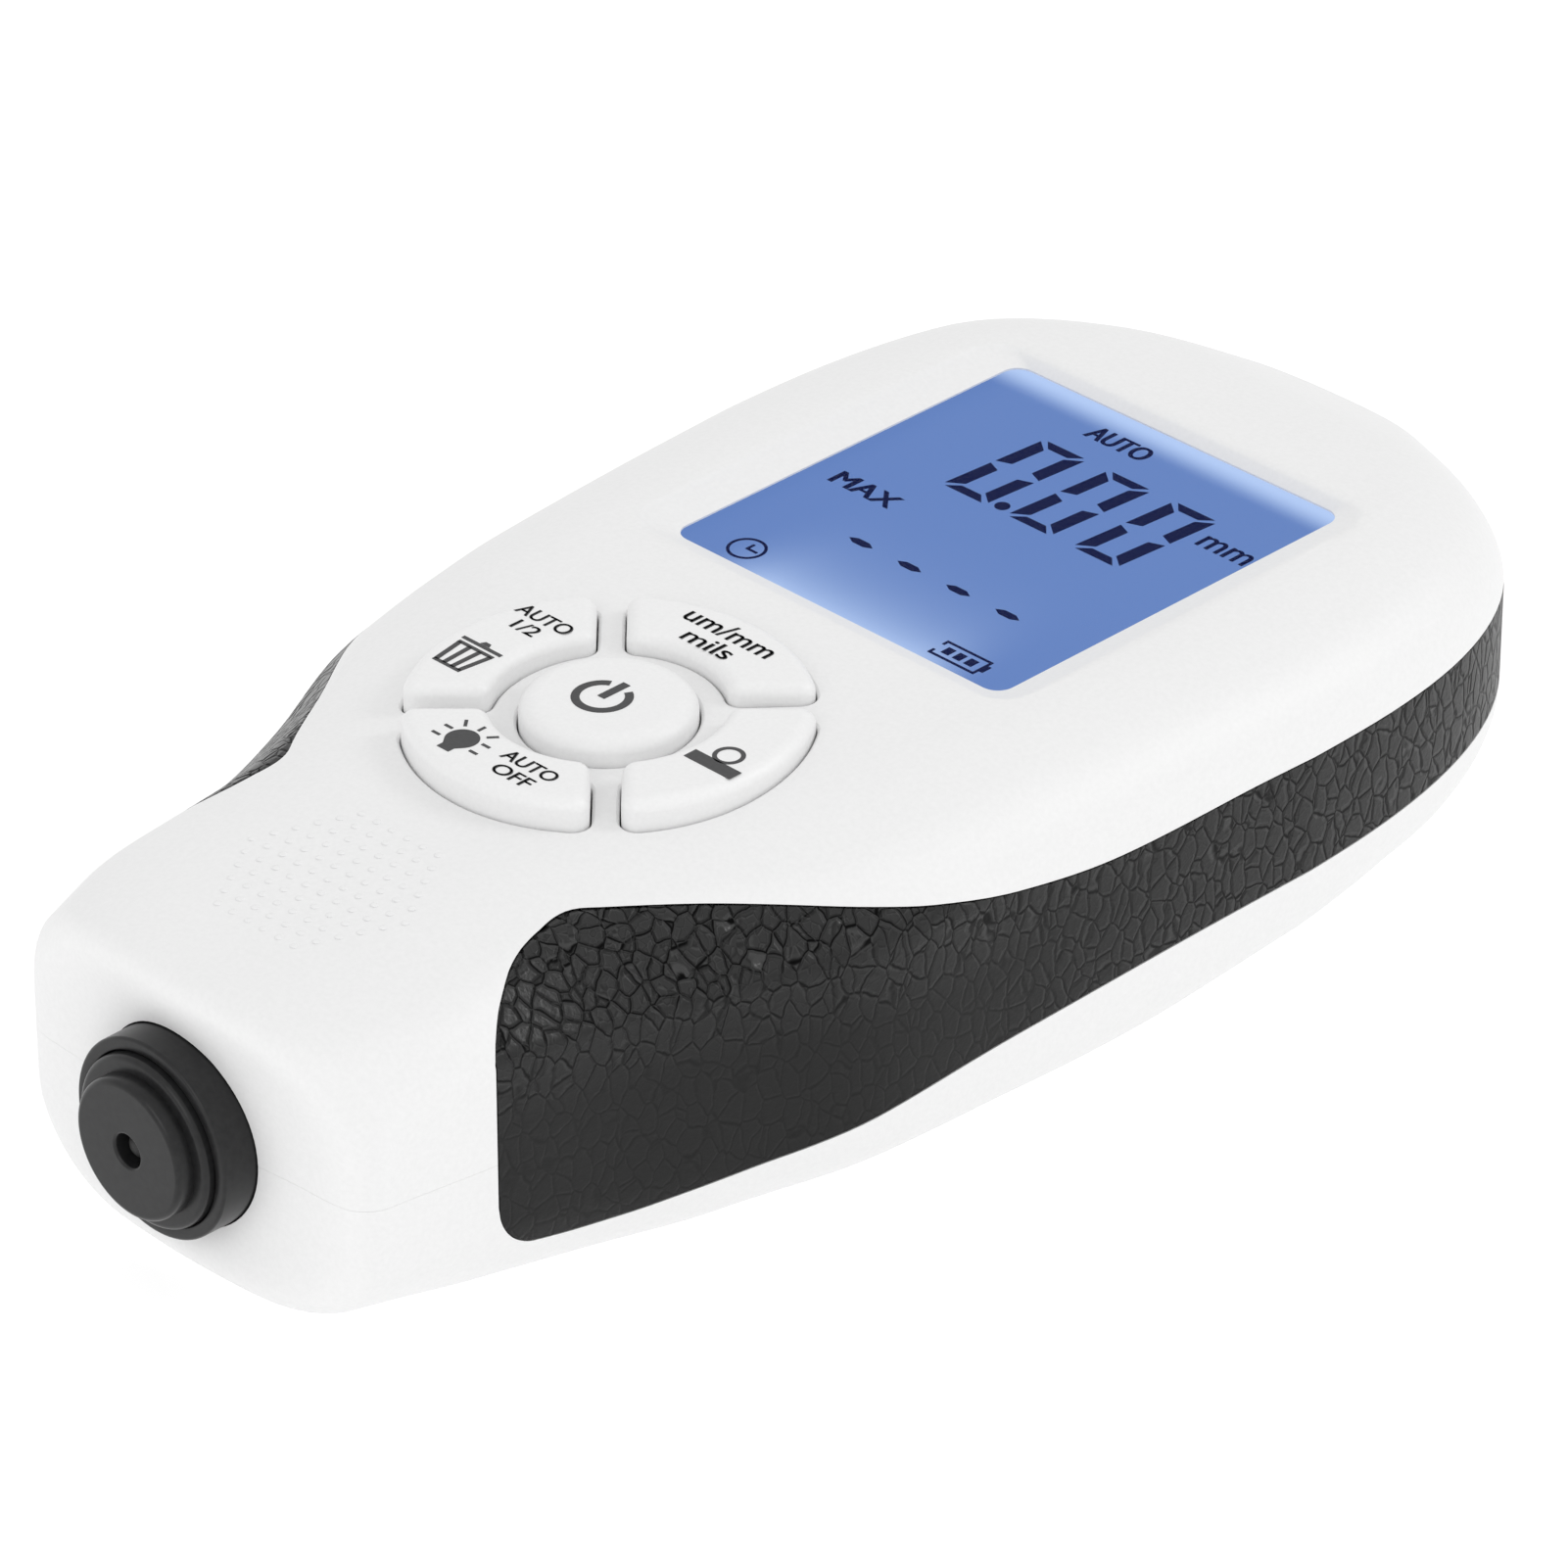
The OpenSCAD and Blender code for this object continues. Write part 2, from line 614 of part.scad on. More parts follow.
// Layer that follows the underside, from depth z0 to depth z1 inside it
module floor_layer(z0, z1) {
    ys = [for (y = stations(0, skin_lips, skin_mids, skin_tails))
        if (y > door_y0 - body_h / 2 && y < door_y1 + body_h / 2) y];
    n = len(ys) - 1;
    lower = [for (i = [0:n]) [ys[i], floor_z(ys[i]) + z0]];
    upper = [for (i = [n:-1:0]) [ys[i], floor_z(ys[i]) + z1]];
    rotate([90, 0, 90]) linear_extrude(body_w, center = true) polygon(concat(lower, upper));
}
module rear_cover() {
    color(white) difference() {
        union() {
            intersection() {
                difference() {
                    skin(0);
                    inner_skin(wall);
                    grip_recess();
                }
                translate([-big / 2, -big / 2, seam_z - big]) cube(big);
            }
            intersection() {
                inner_skin(wall / 2);
                union() {
                    intersection() {
                        union() {
                            saddle();
                            for (p = case_screws_at) translate([p[0], p[1], 0])
                                cylinder(r = case_sleeve_r, h = seam_z);
                        }
                        translate([-big / 2, -big / 2, seam_z - big]) cube(big);
                    }
                    bay_box(bay_wall, 0, bay_top + bay_wall);
                    bay_box(frame_grow, 0, frame_top);
                }
            }
        }
        bay_box(0, -1, bay_top);
        // Seat of the door and the slots its tabs hook into
        intersection() {
            door_prism(door_gap);
            floor_layer(-1, door_t + door_gap);
        }
        for (x = [-tab_x, tab_x])
            translate([x - tab_w / 2 - door_gap, door_y0 - tab_l - door_gap, lip_top])
                cube([tab_w + 2 * door_gap, tab_l + bay_y0 - door_y0 + 2 * door_gap, slot_top - lip_top]);
        // Thumb scoop beside the free end of the door
        translate([0, door_y1 + scoop_off, floor_z(door_y1 + scoop_off) + scoop_depth - scoop_r])
            sphere(r = scoop_r);
        probe_room();
        for (p = case_screws_at) translate([p[0], p[1], -1]) {
            cylinder(d = case_screw_d + 2 * case_head_gap, h = seam_z + 2);
            cylinder(r = case_head_r + case_head_gap, h = case_seat_z + 1);
        }
    }
}
module grip_band() {
    color(black) intersection() {
        difference() {
            skin(0);
            inner_skin(grip_t - glue_t);
        }
        grip_prism(grip_gap);
    }
}
// The door follows the underside and hooks under the cover by two tabs
module battery_door() {
    color(white) {
        intersection() {
            floor_layer(0, door_t);
            door_prism(0);
        }
        for (x = [-tab_x, tab_x]) translate([x - tab_w / 2, door_y0 + door_gap, 0]) {
            translate([0, 0, door_t / 2]) cube([tab_w, tab_base, tab_z + tab_t - door_t / 2]);
            translate([0, -tab_l - door_gap, tab_z]) cube([tab_w, tab_l + tab_base, tab_t]);
        }
    }
}

module display_window() {
    color([0.85, 0.9, 0.95]) translate([0, rim_y, window_top - window_t])
        plate(window_w + 2 * window_lap, window_l + 2 * window_lap, window_t, window_back_r);
}
module lcd_glass() {
    color(blue) translate([0, rim_y, lcd_top - lcd_t]) plate(lcd_w, lcd_l, lcd_t, glass_r);
}
module backlight() {
    color(white) translate([0, rim_y + strip_w, backlight_top - backlight_t])
        plate(lcd_w - 2 * backlight_in, lcd_l - 2 * (strip_w + backlight_in), backlight_t, glass_r);
}
module contact_strip() {
    color(dark) translate([-lcd_w / 2 + strip_in, rim_y - lcd_l / 2 + strip_back, board_top])
        cube([lcd_w - 2 * strip_in, strip_w, backlight_top - board_top]);
}
module lcd_frame() {
    color(white) translate([0, rim_y, board_top]) difference() {
        plate(frame_w, frame_l, lcd_top - board_top, frame_r);
        translate([0, 0, -1]) plate(lcd_w + 2 * frame_gap, lcd_l + 2 * frame_gap, body_h, glass_r + frame_gap);
    }
}
module main_board() {
    color(board_green) translate([0, 0, board_z]) difference() {
        union() {
            translate([-board_front_w / 2, board_y0, 0]) cube([board_front_w, board_y1 - board_y0, board_t]);
            translate([0, rim_y, 0]) plate(board_w, frame_l + 2 * frame_edge, board_t, board_r);
        }
        for (p = board_screws_at) translate([p[0], p[1], -1])
            cylinder(d = board_screw_d + 2 * board_hole_gap, h = board_t + 2);
    }
}
// The processor hangs under the board, in front of the battery bay
chip_w = 9;
chip_t = 1.2;
chip_from_bay = 2;
module processor_chip() {
    color(dark) translate([-chip_w / 2, bay_y0 - bay_wall - chip_from_bay - chip_w, board_z - chip_t])
        cube([chip_w, chip_w, chip_t]);
}

module power_key() {
    color(white) translate([0, ring_y, 0]) {
        translate([0, 0, flange_top - eps]) rotate_extrude()
            polygon(top_round(0, power_r, key_top - flange_top + eps, key_round));
        translate([0, 0, flange_z]) cylinder(r = power_hole_r + key_lap, h = flange_t);
        translate([0, 0, stem_z]) cylinder(r = stem_r, h = flange_z - stem_z + eps);
    }
}
module units_key() {
    ring_key(key_turns[0]);
}
module delete_key() {
    ring_key(key_turns[1]);
}
module light_key() {
    ring_key(key_turns[2]);
}
module zero_key() {
    ring_key(key_turns[3]);
}
module power_switch() {
    translate([0, ring_y, 0]) tact_switch();
}
module units_switch() {
    ring_switch(key_turns[0]);
}
module delete_switch() {
    ring_switch(key_turns[1]);
}
module light_switch() {
    ring_switch(key_turns[2]);
}
module zero_switch() {
    ring_switch(key_turns[3]);
}

module probe_collar() {
    color(black) difference() {
        union() {
            rod(collar_r, collar_y, collar_shoulder_y + eps);
            rod(collar_body_r, collar_shoulder_y, collar_back_y);
        }
        rod(collar_bore_r, collar_y - 1, collar_back_y + 1);
        rod(plunger_bore_r, plunger_stop_y, collar_back_y + 1);
    }
}
// Stepped plunger with a rounded measuring face, turned round the probe axis
module probe_plunger() {
    nose_l = plunger_flange_y - plunger_y;
    face_l = plunger_out - step_out;
    round_r = 0.5;
    color(black) translate([0, plunger_y, seam_z]) rotate([-90, 0, 0]) rotate_extrude() polygon(concat(
        [for (i = [0:4]) [face_r - round_r + round_r * sin(22.5 * i), round_r - round_r * cos(22.5 * i)]],
        [[face_r, face_l]],
        [for (i = [0:4])
            [plunger_r - round_r + round_r * sin(22.5 * i), face_l + round_r - round_r * cos(22.5 * i)]],
        [[plunger_r, nose_l], [plunger_flange_r, nose_l], [plunger_flange_r, nose_l + plunger_flange_t],
            [stem_out_r, nose_l + plunger_flange_t], [stem_out_r, stem_end_y - plunger_y],
            [coil_r + coil_gap, stem_end_y - plunger_y], [coil_r + coil_gap, face_t],
            [tip_hole_r, face_t], [tip_hole_r, 0]]
    ));
}
tip_r = tip_hole_r - coil_gap;
tip_depth = 0.6;
module probe_coil() {
    color([0.7, 0.4, 0.2]) difference() {
        rod(coil_r, plunger_y + face_t + coil_gap, stem_end_y - coil_gap);
        rod(tip_r + coil_gap, plunger_y, stem_end_y + 1);
    }
}
module probe_tip() {
    color(steel) translate([0, plunger_y, seam_z]) rotate([-90, 0, 0]) {
        translate([0, 0, tip_depth + tip_r]) sphere(r = tip_r);
        translate([0, 0, tip_depth + tip_r])
            cylinder(r = tip_r, h = stem_end_y - plunger_y - tip_depth - tip_r);
    }
}
module probe_spring() {
    y0 = plunger_flange_y + plunger_flange_t + spring_gap;
    color(steel) translate([0, y0, seam_z])
        coil(spring_r, spring_r, cap_y - y0 - spring_gap, spring_turns, spring_wire_r, spring_facets);
}
module probe_cap() {
    color(dark) difference() {
        rod(plunger_bore_r - cap_gap, cap_y, collar_back_y);
        rod(cap_hole_r, cap_y - 1, collar_back_y + 1);
    }
}

// Round cell lying along Y, its button end towards the tail
button_l = 0.8;
button_r = 1.9;
module cell() {
    rotate([-90, 0, 0]) {
        cylinder(d = cell_d, h = cell_l - button_l);
        cylinder(r = button_r, h = cell_l);
    }
}
module battery_left() {
    color([0.2, 0.25, 0.3]) translate([-cell_x, bay_y1 - contact_t - contact_room / 2 - cell_l, cell_z]) cell();
}
module battery_right() {
    color([0.2, 0.25, 0.3]) translate([cell_x, bay_y0 + contact_t + contact_room / 2 + cell_l, cell_z])
        rotate([0, 0, 180]) cell();
}
contact_w = 9;
contact_h = 9;
module contact_plate(x, y, w) {
    translate([x - w / 2, y, cell_z - contact_h / 2]) cube([w, contact_t, contact_h]);
}
module bridge_contact() {
    color(steel) contact_plate(0, bay_y0, 2 * cell_x + contact_w);
}
module output_contacts() {
    color(steel) for (x = [-cell_x, cell_x]) contact_plate(x, bay_y1 - contact_t, contact_w);
}
contact_coil_r = [3.4, 2.2];
contact_turns = 3;
contact_facets = 12;
module contact_coil() {
    coil(contact_coil_r[0], contact_coil_r[1], spring_l, contact_turns, spring_wire_r, contact_facets);
}
module contact_springs() {
    color(steel) {
        translate([-cell_x, bay_y0 + contact_t, cell_z]) contact_coil();
        translate([cell_x, bay_y1 - contact_t, cell_z]) rotate([0, 0, 180]) contact_coil();
    }
}

module case_screws() {
    color(steel) for (p = case_screws_at) translate([p[0], p[1], case_seat_z - case_head_h]) {
        cylinder(r = case_head_r, h = case_head_h);
        cylinder(d = case_screw_d - 2 * screw_gap, h = case_head_h + case_screw_l);
    }
}
module board_screws() {
    color(steel) for (p = board_screws_at) translate([p[0], p[1], board_z - board_head_h]) {
        cylinder(r = board_head_r, h = board_head_h);
        cylinder(d = board_screw_d - 2 * screw_gap, h = board_head_h + board_screw_l);
    }
}

front_cover();
rear_cover();
grip_band();
display_window();
lcd_glass();
lcd_frame();
backlight();
contact_strip();
main_board();
processor_chip();
power_key();
units_key();
delete_key();
light_key();
zero_key();
power_switch();
units_switch();
delete_switch();
light_switch();
zero_switch();
probe_collar();
probe_plunger();
probe_coil();
probe_tip();
probe_spring();
probe_cap();
battery_door();
battery_left();
battery_right();
bridge_contact();
output_contacts();
contact_springs();
case_screws();
board_screws();
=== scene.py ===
# %% [markdown]
# # A hand-held coating thickness gauge
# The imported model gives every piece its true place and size. This lesson dresses it: a smooth moulded
# housing, a leather-look grip, a lit display, printed keys and a black probe. Sizes are written in
# millimetres and turned into metres when a piece is finished.

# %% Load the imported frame
import math
import bmesh
import bpy
from mathutils import Matrix, Vector


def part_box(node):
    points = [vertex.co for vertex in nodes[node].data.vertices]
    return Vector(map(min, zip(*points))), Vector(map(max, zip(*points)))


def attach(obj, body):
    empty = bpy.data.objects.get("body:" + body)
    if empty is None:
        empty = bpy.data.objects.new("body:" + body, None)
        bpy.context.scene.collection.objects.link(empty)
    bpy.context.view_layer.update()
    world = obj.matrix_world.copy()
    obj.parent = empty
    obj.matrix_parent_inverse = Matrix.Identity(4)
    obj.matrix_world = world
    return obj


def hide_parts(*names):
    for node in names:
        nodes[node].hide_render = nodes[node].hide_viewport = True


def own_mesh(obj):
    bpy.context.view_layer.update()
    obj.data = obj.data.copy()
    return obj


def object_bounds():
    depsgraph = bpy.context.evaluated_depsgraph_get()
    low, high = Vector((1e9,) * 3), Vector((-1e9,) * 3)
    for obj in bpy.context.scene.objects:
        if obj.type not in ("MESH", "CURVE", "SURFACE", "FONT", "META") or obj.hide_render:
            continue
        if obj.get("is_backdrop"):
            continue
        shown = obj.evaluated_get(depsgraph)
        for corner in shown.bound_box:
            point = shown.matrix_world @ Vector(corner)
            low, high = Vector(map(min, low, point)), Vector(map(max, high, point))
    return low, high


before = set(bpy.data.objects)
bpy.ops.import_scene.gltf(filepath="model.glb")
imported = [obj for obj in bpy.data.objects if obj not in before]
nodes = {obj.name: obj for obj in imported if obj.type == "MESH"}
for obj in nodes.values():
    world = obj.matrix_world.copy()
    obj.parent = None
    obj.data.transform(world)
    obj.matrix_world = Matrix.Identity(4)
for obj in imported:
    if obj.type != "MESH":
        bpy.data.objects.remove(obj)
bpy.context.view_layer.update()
MM = 0.001

# %% [markdown]
# ## Finishes
# Moulded plastic, print and metal are never quite even. Each finish here is a Principled shader with small
# changes in colour, roughness and relief. Pictures could give these too, but noise needs no unwrapping and
# has no seams. Object coordinates are in metres, so a scale of 1000 gives about one grain to the millimetre.

# %% Helpers for finishes
def new_finish(name, colour, roughness, metallic=0.0):
    finish = bpy.data.materials.new(name)
    finish.use_nodes = True
    tree = finish.node_tree
    shader = tree.nodes["Principled BSDF"]
    shader.inputs["Base Color"].default_value = (*colour, 1)
    shader.inputs["Roughness"].default_value = roughness
    shader.inputs["Metallic"].default_value = metallic
    return finish, tree, shader


def add_node(tree, kind, links=None, **settings):
    made = tree.nodes.new(kind)
    for key, value in settings.items():
        if key in made.inputs:
            made.inputs[key].default_value = value
        else:
            setattr(made, key, value)
    for key, source in (links or {}).items():
        tree.links.new(source, made.inputs[key])
    return made


def object_place(tree):
    return add_node(tree, "ShaderNodeTexCoord").outputs["Object"]


def carry(tree, value, span, to=(0.0, 1.0), easing="LINEAR", clamp=True):
    """Carries a value from one span to another."""
    made = add_node(tree, "ShaderNodeMapRange", {"Value": value}, interpolation_type=easing, clamp=clamp)
    for socket, number in zip(("From Min", "From Max", "To Min", "To Max"), (*span, *to)):
        made.inputs[socket].default_value = number
    return made.outputs["Result"]


def reckon(tree, operation, *given):
    """A sum: outputs are linked to the node and numbers stand on its sockets."""
    made = add_node(tree, "ShaderNodeMath", operation=operation)
    for socket, value in zip(made.inputs, given):
        if isinstance(value, float):
            socket.default_value = value
        else:
            tree.links.new(value, socket)
    return made.outputs[0]


def ramp_between(tree, factor, low, high, start=0.0, end=1.0):
    ramp = add_node(tree, "ShaderNodeValToRGB", {"Fac": factor})
    ramp.color_ramp.elements[0].position = start
    ramp.color_ramp.elements[1].position = end
    ramp.color_ramp.elements[0].color = (*low, 1)
    ramp.color_ramp.elements[1].color = (*high, 1)
    return ramp.outputs["Color"]


print("helpers for finishes ready")

# %% [markdown]
# ## Plain finishes
# The housing and keys are white moulded plastic with a fine matt grain, the probe is black plastic, and the
# pieces inside are board, rubber, copper and steel. One recipe serves them all: a noise that stirs the
# colour, the roughness and the relief together, as real grain does.

# %% Grained finishes
GRAIN_DETAIL, GRAIN_DEPTH, GRAIN_SPAN = 4.0, 0.00002, (0.3, 0.7)


def grained(name, dark, light, grain, rough, relief, metallic=0.0, shine=0.5):
    """A finish with a noise of the given grain in its colour, roughness and relief."""
    finish, tree, shader = new_finish(name, light, rough[0], metallic)
    shader.inputs["Specular IOR Level"].default_value = shine
    noise = add_node(tree, "ShaderNodeTexNoise", {"Vector": object_place(tree)}, Scale=grain,
                     Detail=GRAIN_DETAIL).outputs["Fac"]
    bump = add_node(tree, "ShaderNodeBump", {"Height": noise}, Strength=relief, Distance=GRAIN_DEPTH)
    tree.links.new(ramp_between(tree, noise, dark, light, *GRAIN_SPAN), shader.inputs["Base Color"])
    tree.links.new(carry(tree, noise, (0.0, 1.0), rough), shader.inputs["Roughness"])
    tree.links.new(bump.outputs["Normal"], shader.inputs["Normal"])
    return finish


def grey(tone):
    return (tone, tone, tone)


housing_white = grained("housing_white", grey(0.80), grey(0.83), 2600, (0.42, 0.52), 0.12)
key_white = grained("key_white", grey(0.81), grey(0.84), 3200, (0.38, 0.46), 0.06)
frame_white = grained("frame_white", grey(0.70), grey(0.76), 900, (0.5, 0.6), 0.05)
backlight_white = grained("backlight_white", grey(0.8), grey(0.88), 600, (0.5, 0.6), 0.02)
switch_black = grained("switch_black", grey(0.015), grey(0.03), 1500, (0.4, 0.55), 0.05)
chip_black = grained("chip_black", grey(0.012), grey(0.022), 2600, (0.55, 0.7), 0.1)
probe_black = grained("probe_black", (0.01, 0.01, 0.0105), (0.016, 0.016, 0.0165), 1800, (0.26, 0.36), 0.05,
                      shine=0.3)
strip_rubber = grained("strip_rubber", grey(0.02), (0.05, 0.05, 0.055), 1200, (0.7, 0.85), 0.15)
board_green = grained("board_green", (0.008, 0.07, 0.03), (0.015, 0.11, 0.045), 700, (0.25, 0.4), 0.05)
legend_ink = grained("legend_ink", (0.035, 0.035, 0.036), (0.05, 0.05, 0.052), 3000, (0.5, 0.6), 0.03)
steel = grained("steel", (0.50, 0.50, 0.52), (0.62, 0.62, 0.64), 1400, (0.22, 0.36), 0.05, metallic=1.0)
coil_copper = grained("coil_copper", (0.45, 0.16, 0.06), (0.62, 0.26, 0.12), 2200, (0.25, 0.4), 0.1,
                      metallic=1.0)
print("plain finishes made")

# %% [markdown]
# ## The leather-look grip
# Embossed leather is a net of pebbles with creases between them. Carving each pebble would cost very many
# faces, so Voronoi cells, bent by noise, give the net. The creases are deep where the band faces upward and
# towards the head. Below the fold the leather is stretched flat and they fade. The net is read twice, a
# little apart: the difference, the slope of each crease, is painted into the colour as shade on one bank and light
# on the other.

# %% Where the creases are deep
def crease_strength(tree, place):
    facing = add_node(tree, "ShaderNodeNewGeometry").outputs["Normal"]
    upward = add_node(tree, "ShaderNodeSeparateXYZ", {"Vector": facing}).outputs["Z"]
    split = add_node(tree, "ShaderNodeSeparateXYZ", {"Vector": place})
    folded = carry(tree, upward, (0.2, 0.62), (0.1, 1.0), "SMOOTHSTEP")
    high = carry(tree, split.outputs["Z"], (0.012, 0.021), (0.0, 0.55), "SMOOTHSTEP")
    head = carry(tree, split.outputs["Y"], (-0.02, 0.025), (0.0, 0.6), "SMOOTHSTEP")
    return reckon(tree, "MAXIMUM", reckon(tree, "MAXIMUM", folded, high), head)


print("creases are deep where the band faces up, stands high or runs round the head")

# %% The net of pebbles
NET_SCALE, FINE_SCALE = 780.0, 1500.0
NET_REACH, FINE_REACH, FINE_SHARE = 0.00013, 0.00005, 0.5
CREASE_W, BUMP_W, TOP_W = 0.1, 0.18, 0.08
BEND_SCALE, BEND = 330.0, 0.0014
PEBBLE_TURN, PEBBLE_STRETCH = (0.5, 0.0, 0.0), (1.0, 1.0, 0.6)


def bent_place(tree, place):
    noise = add_node(tree, "ShaderNodeTexNoise", {"Vector": place}, Scale=BEND_SCALE, Detail=2.0)
    bent = add_node(tree, "ShaderNodeVectorMath", {0: noise.outputs["Color"], 2: place},
                    operation="MULTIPLY_ADD")
    bent.inputs[1].default_value = (BEND, BEND, BEND)
    return bent.outputs[0]


def pebbles(tree, bent, scale, width, shift=(0.0, 0.0, 0.0)):
    """0 along the creases, rising to 1 on the pebbles."""
    tall = add_node(tree, "ShaderNodeMapping", {"Vector": bent}, Location=shift, Rotation=PEBBLE_TURN,
                    Scale=PEBBLE_STRETCH)
    cells = add_node(tree, "ShaderNodeTexVoronoi", {"Vector": tall.outputs[0]}, feature="DISTANCE_TO_EDGE",
                     Scale=scale)
    return carry(tree, cells.outputs["Distance"], (0.0, width), easing="SMOOTHERSTEP")


# Painted light and shade: the net here less the net a little towards the light gives each crease a lighter and a
# darker bank.
def painted_bank_shade(tree, bent, scale, reach):
    here = pebbles(tree, bent, scale, CREASE_W)
    there = pebbles(tree, bent, scale, CREASE_W, (0.0, -0.6 * reach, 0.8 * reach))
    return reckon(tree, "SUBTRACT", here, there)


print("pebbles about", round(1000 / NET_SCALE, 1), "mm wide")

# %% The grip's finish
def make_grip_leather():
    finish, tree, shader = new_finish("grip_leather", grey(0.015), 0.4)
    place = object_place(tree)
    bent, strong = bent_place(tree, place), crease_strength(tree, place)
    fine, coarse = painted_bank_shade(tree, bent, FINE_SCALE, FINE_REACH), painted_bank_shade(tree, bent, NET_SCALE, NET_REACH)
    painted_bank_shading = reckon(tree, "MULTIPLY_ADD", fine, FINE_SHARE, coarse)
    # Painted light and shade on the crease banks, kept to the deep creases, makes the base colour below.
    shade = carry(tree, reckon(tree, "MULTIPLY", painted_bank_shading, strong), (-1.0, 1.0))
    tone = ramp_between(tree, shade, grey(0.0), grey(0.034), 0.36, 0.8)
    net = reckon(tree, "MULTIPLY", pebbles(tree, bent, NET_SCALE, BUMP_W), strong)
    pores = add_node(tree, "ShaderNodeTexNoise", {"Vector": place}, Scale=2600.0, Detail=3.0).outputs["Fac"]
    height = reckon(tree, "MULTIPLY_ADD", pores, 0.12, net)
    bump = add_node(tree, "ShaderNodeBump", {"Height": height}, Strength=0.8, Distance=0.0004)
    flat_top = carry(tree, pebbles(tree, bent, NET_SCALE, TOP_W), (0.0, 1.0), (0.06, 0.4))
    gloss = add_node(tree, "ShaderNodeMix", {0: strong, 3: flat_top})
    gloss.inputs[2].default_value = 0.2
    tree.links.new(tone, shader.inputs["Base Color"])
    tree.links.new(bump.outputs["Normal"], shader.inputs["Normal"])
    tree.links.new(gloss.outputs[0], shader.inputs["Specular IOR Level"])
    tree.links.new(carry(tree, strong, (0.0, 1.0), (0.5, 0.3)), shader.inputs["Roughness"])
    return finish


grip_leather = make_grip_leather()
print("grip finish made with", len(grip_leather.node_tree.nodes), "nodes")

# %% [markdown]
# ## The lit display
# The panel is an even blue with a light band at the far edge and a pool of light at the near edge, where
# the backlight's lamp sits. It glows by itself, so its colour goes into the emission and not into the base.
# The pane over it is almost invisible, and the dark segments let a little blue through.

# %% Finishes of the display
def make_lcd_blue():
    finish, tree, shader = new_finish("lcd_blue", (0.005, 0.008, 0.02), 0.4)
    split = add_node(tree, "ShaderNodeSeparateXYZ", {"Vector": object_place(tree)})
    along, across = split.outputs["Y"], reckon(tree, "ABSOLUTE", split.outputs["X"])
    band = carry(tree, along, (0.042, 0.0452), easing="SMOOTHSTEP")
    decay = reckon(tree, "EXPONENT", carry(tree, along, (0.0078, 0.0112), (0.0, -1.0), clamp=False))
    middle = carry(tree, across, (0.007, 0.014), (0.85, 0.0), "SMOOTHSTEP")
    glow = reckon(tree, "MAXIMUM", band, reckon(tree, "MULTIPLY", decay, middle))
    colour = ramp_between(tree, glow, (0.140, 0.245, 0.560), (0.49, 0.65, 0.98))
    tree.links.new(colour, shader.inputs["Emission Color"])
    shader.inputs["Emission Strength"].default_value = 1.0
    shader.inputs["Specular IOR Level"].default_value = 0.0
    return finish


lcd_blue = make_lcd_blue()
window_clear, _, shader = new_finish("window_clear", (0.03, 0.04, 0.06), 0.05)
shader.inputs["Alpha"].default_value = 0.04
display_ink, _, shader = new_finish("display_ink", (0.003, 0.004, 0.012), 0.6)
shader.inputs["Specular IOR Level"].default_value = 0.0
shader.inputs["Emission Color"].default_value = (0.10, 0.16, 1.0, 1)
shader.inputs["Emission Strength"].default_value = 0.05
print("display finishes made")

# %% [markdown]
# ## The lines of the housing
# The real housing is a moulded shell with no flat side to start from. Sculpting could copy it by eye, but a
# loft keeps its sizes: a cross-section is drawn at many places from nose to tail, and each of its sizes
# follows a smooth line through a few points. The lines are those of the solid model, apart from a slightly
# rounder nose.

# %% Lines from the nose, 0, to the tail, 1
BODY_L, BODY_W, BODY_H, NECK_W, NOSE_W = 122.0, 64.0, 28.0, 39.6, 36.0
WALL, SEAM_Z, LIP_R, DISH, NOSE_BOW = 2.0, 11.8, 2.0, 0.5, 2.0
TAIL_Y = 63.15
NOSE_Y = TAIL_Y - BODY_L
WIDE_Y, NECK_Y, TAIL_POWER = TAIL_Y - 38, NOSE_Y + 14, 2.7
FLARE = [(0, 0), (0.13, 0.14), (0.26, 0.4), (0.4, 0.72), (0.59, 0.84), (0.79, 0.93), (1, 1)]
TOP_FALL = [(0, 3.6), (0.09, 2.8), (0.17, 1.7), (0.25, 1), (0.35, 0.6), (0.47, 0), (0.86, 0), (0.943, 1.5),
            (1, 4.5)]
FLOOR_RISE = [(0, 0), (0.57, 0), (0.73, 0.6), (0.85, 2), (1, 7.8)]
LEVEL = [(0, 4), (0.24, 8), (0.48, 19), (0.85, 19), (1, 6)]
EDGE_SLOPE = [(0, 14), (0.11, 14), (0.24, 16), (0.48, 20), (1, 20)]
SHOULDER = [(0, 8), (0.155, 5.1), (0.28, 4.8), (0.44, 8.4), (1, 7.3)]
FACET = [(0, 1.6), (0.074, 1.2), (0.17, 5), (0.254, 5.6), (0.36, 2.3), (0.47, 0.6), (1, 0.6)]
FOLD = [(0, 6), (0.115, 2), (0.24, 1.7), (0.385, 4), (0.48, 4.9), (1, 4.9)]
ROLL_H = [(0, 7.6), (0.115, 6.7), (0.24, 5.7), (0.385, 5.2), (0.54, 5.8), (0.69, 7.6), (0.85, 9.4), (1, 3.8)]
ROLL_W = [(0, 10.8), (0.115, 5), (0.24, 3), (0.385, 9), (0.54, 10), (0.69, 15.5), (0.85, 15.7), (1, 6)]
GRIP_TOP = [(0.106, 20.1), (0.108, 20.7), (0.112, 21.3), (0.127, 22.95), (0.147, 24.35), (0.175, 25.2),
            (0.21, 25.6), (0.302, 24.3), (0.39, 22.2), (0.451, 20.6), (0.525, 19.7), (0.65, 20.2), (1, 20.6)]
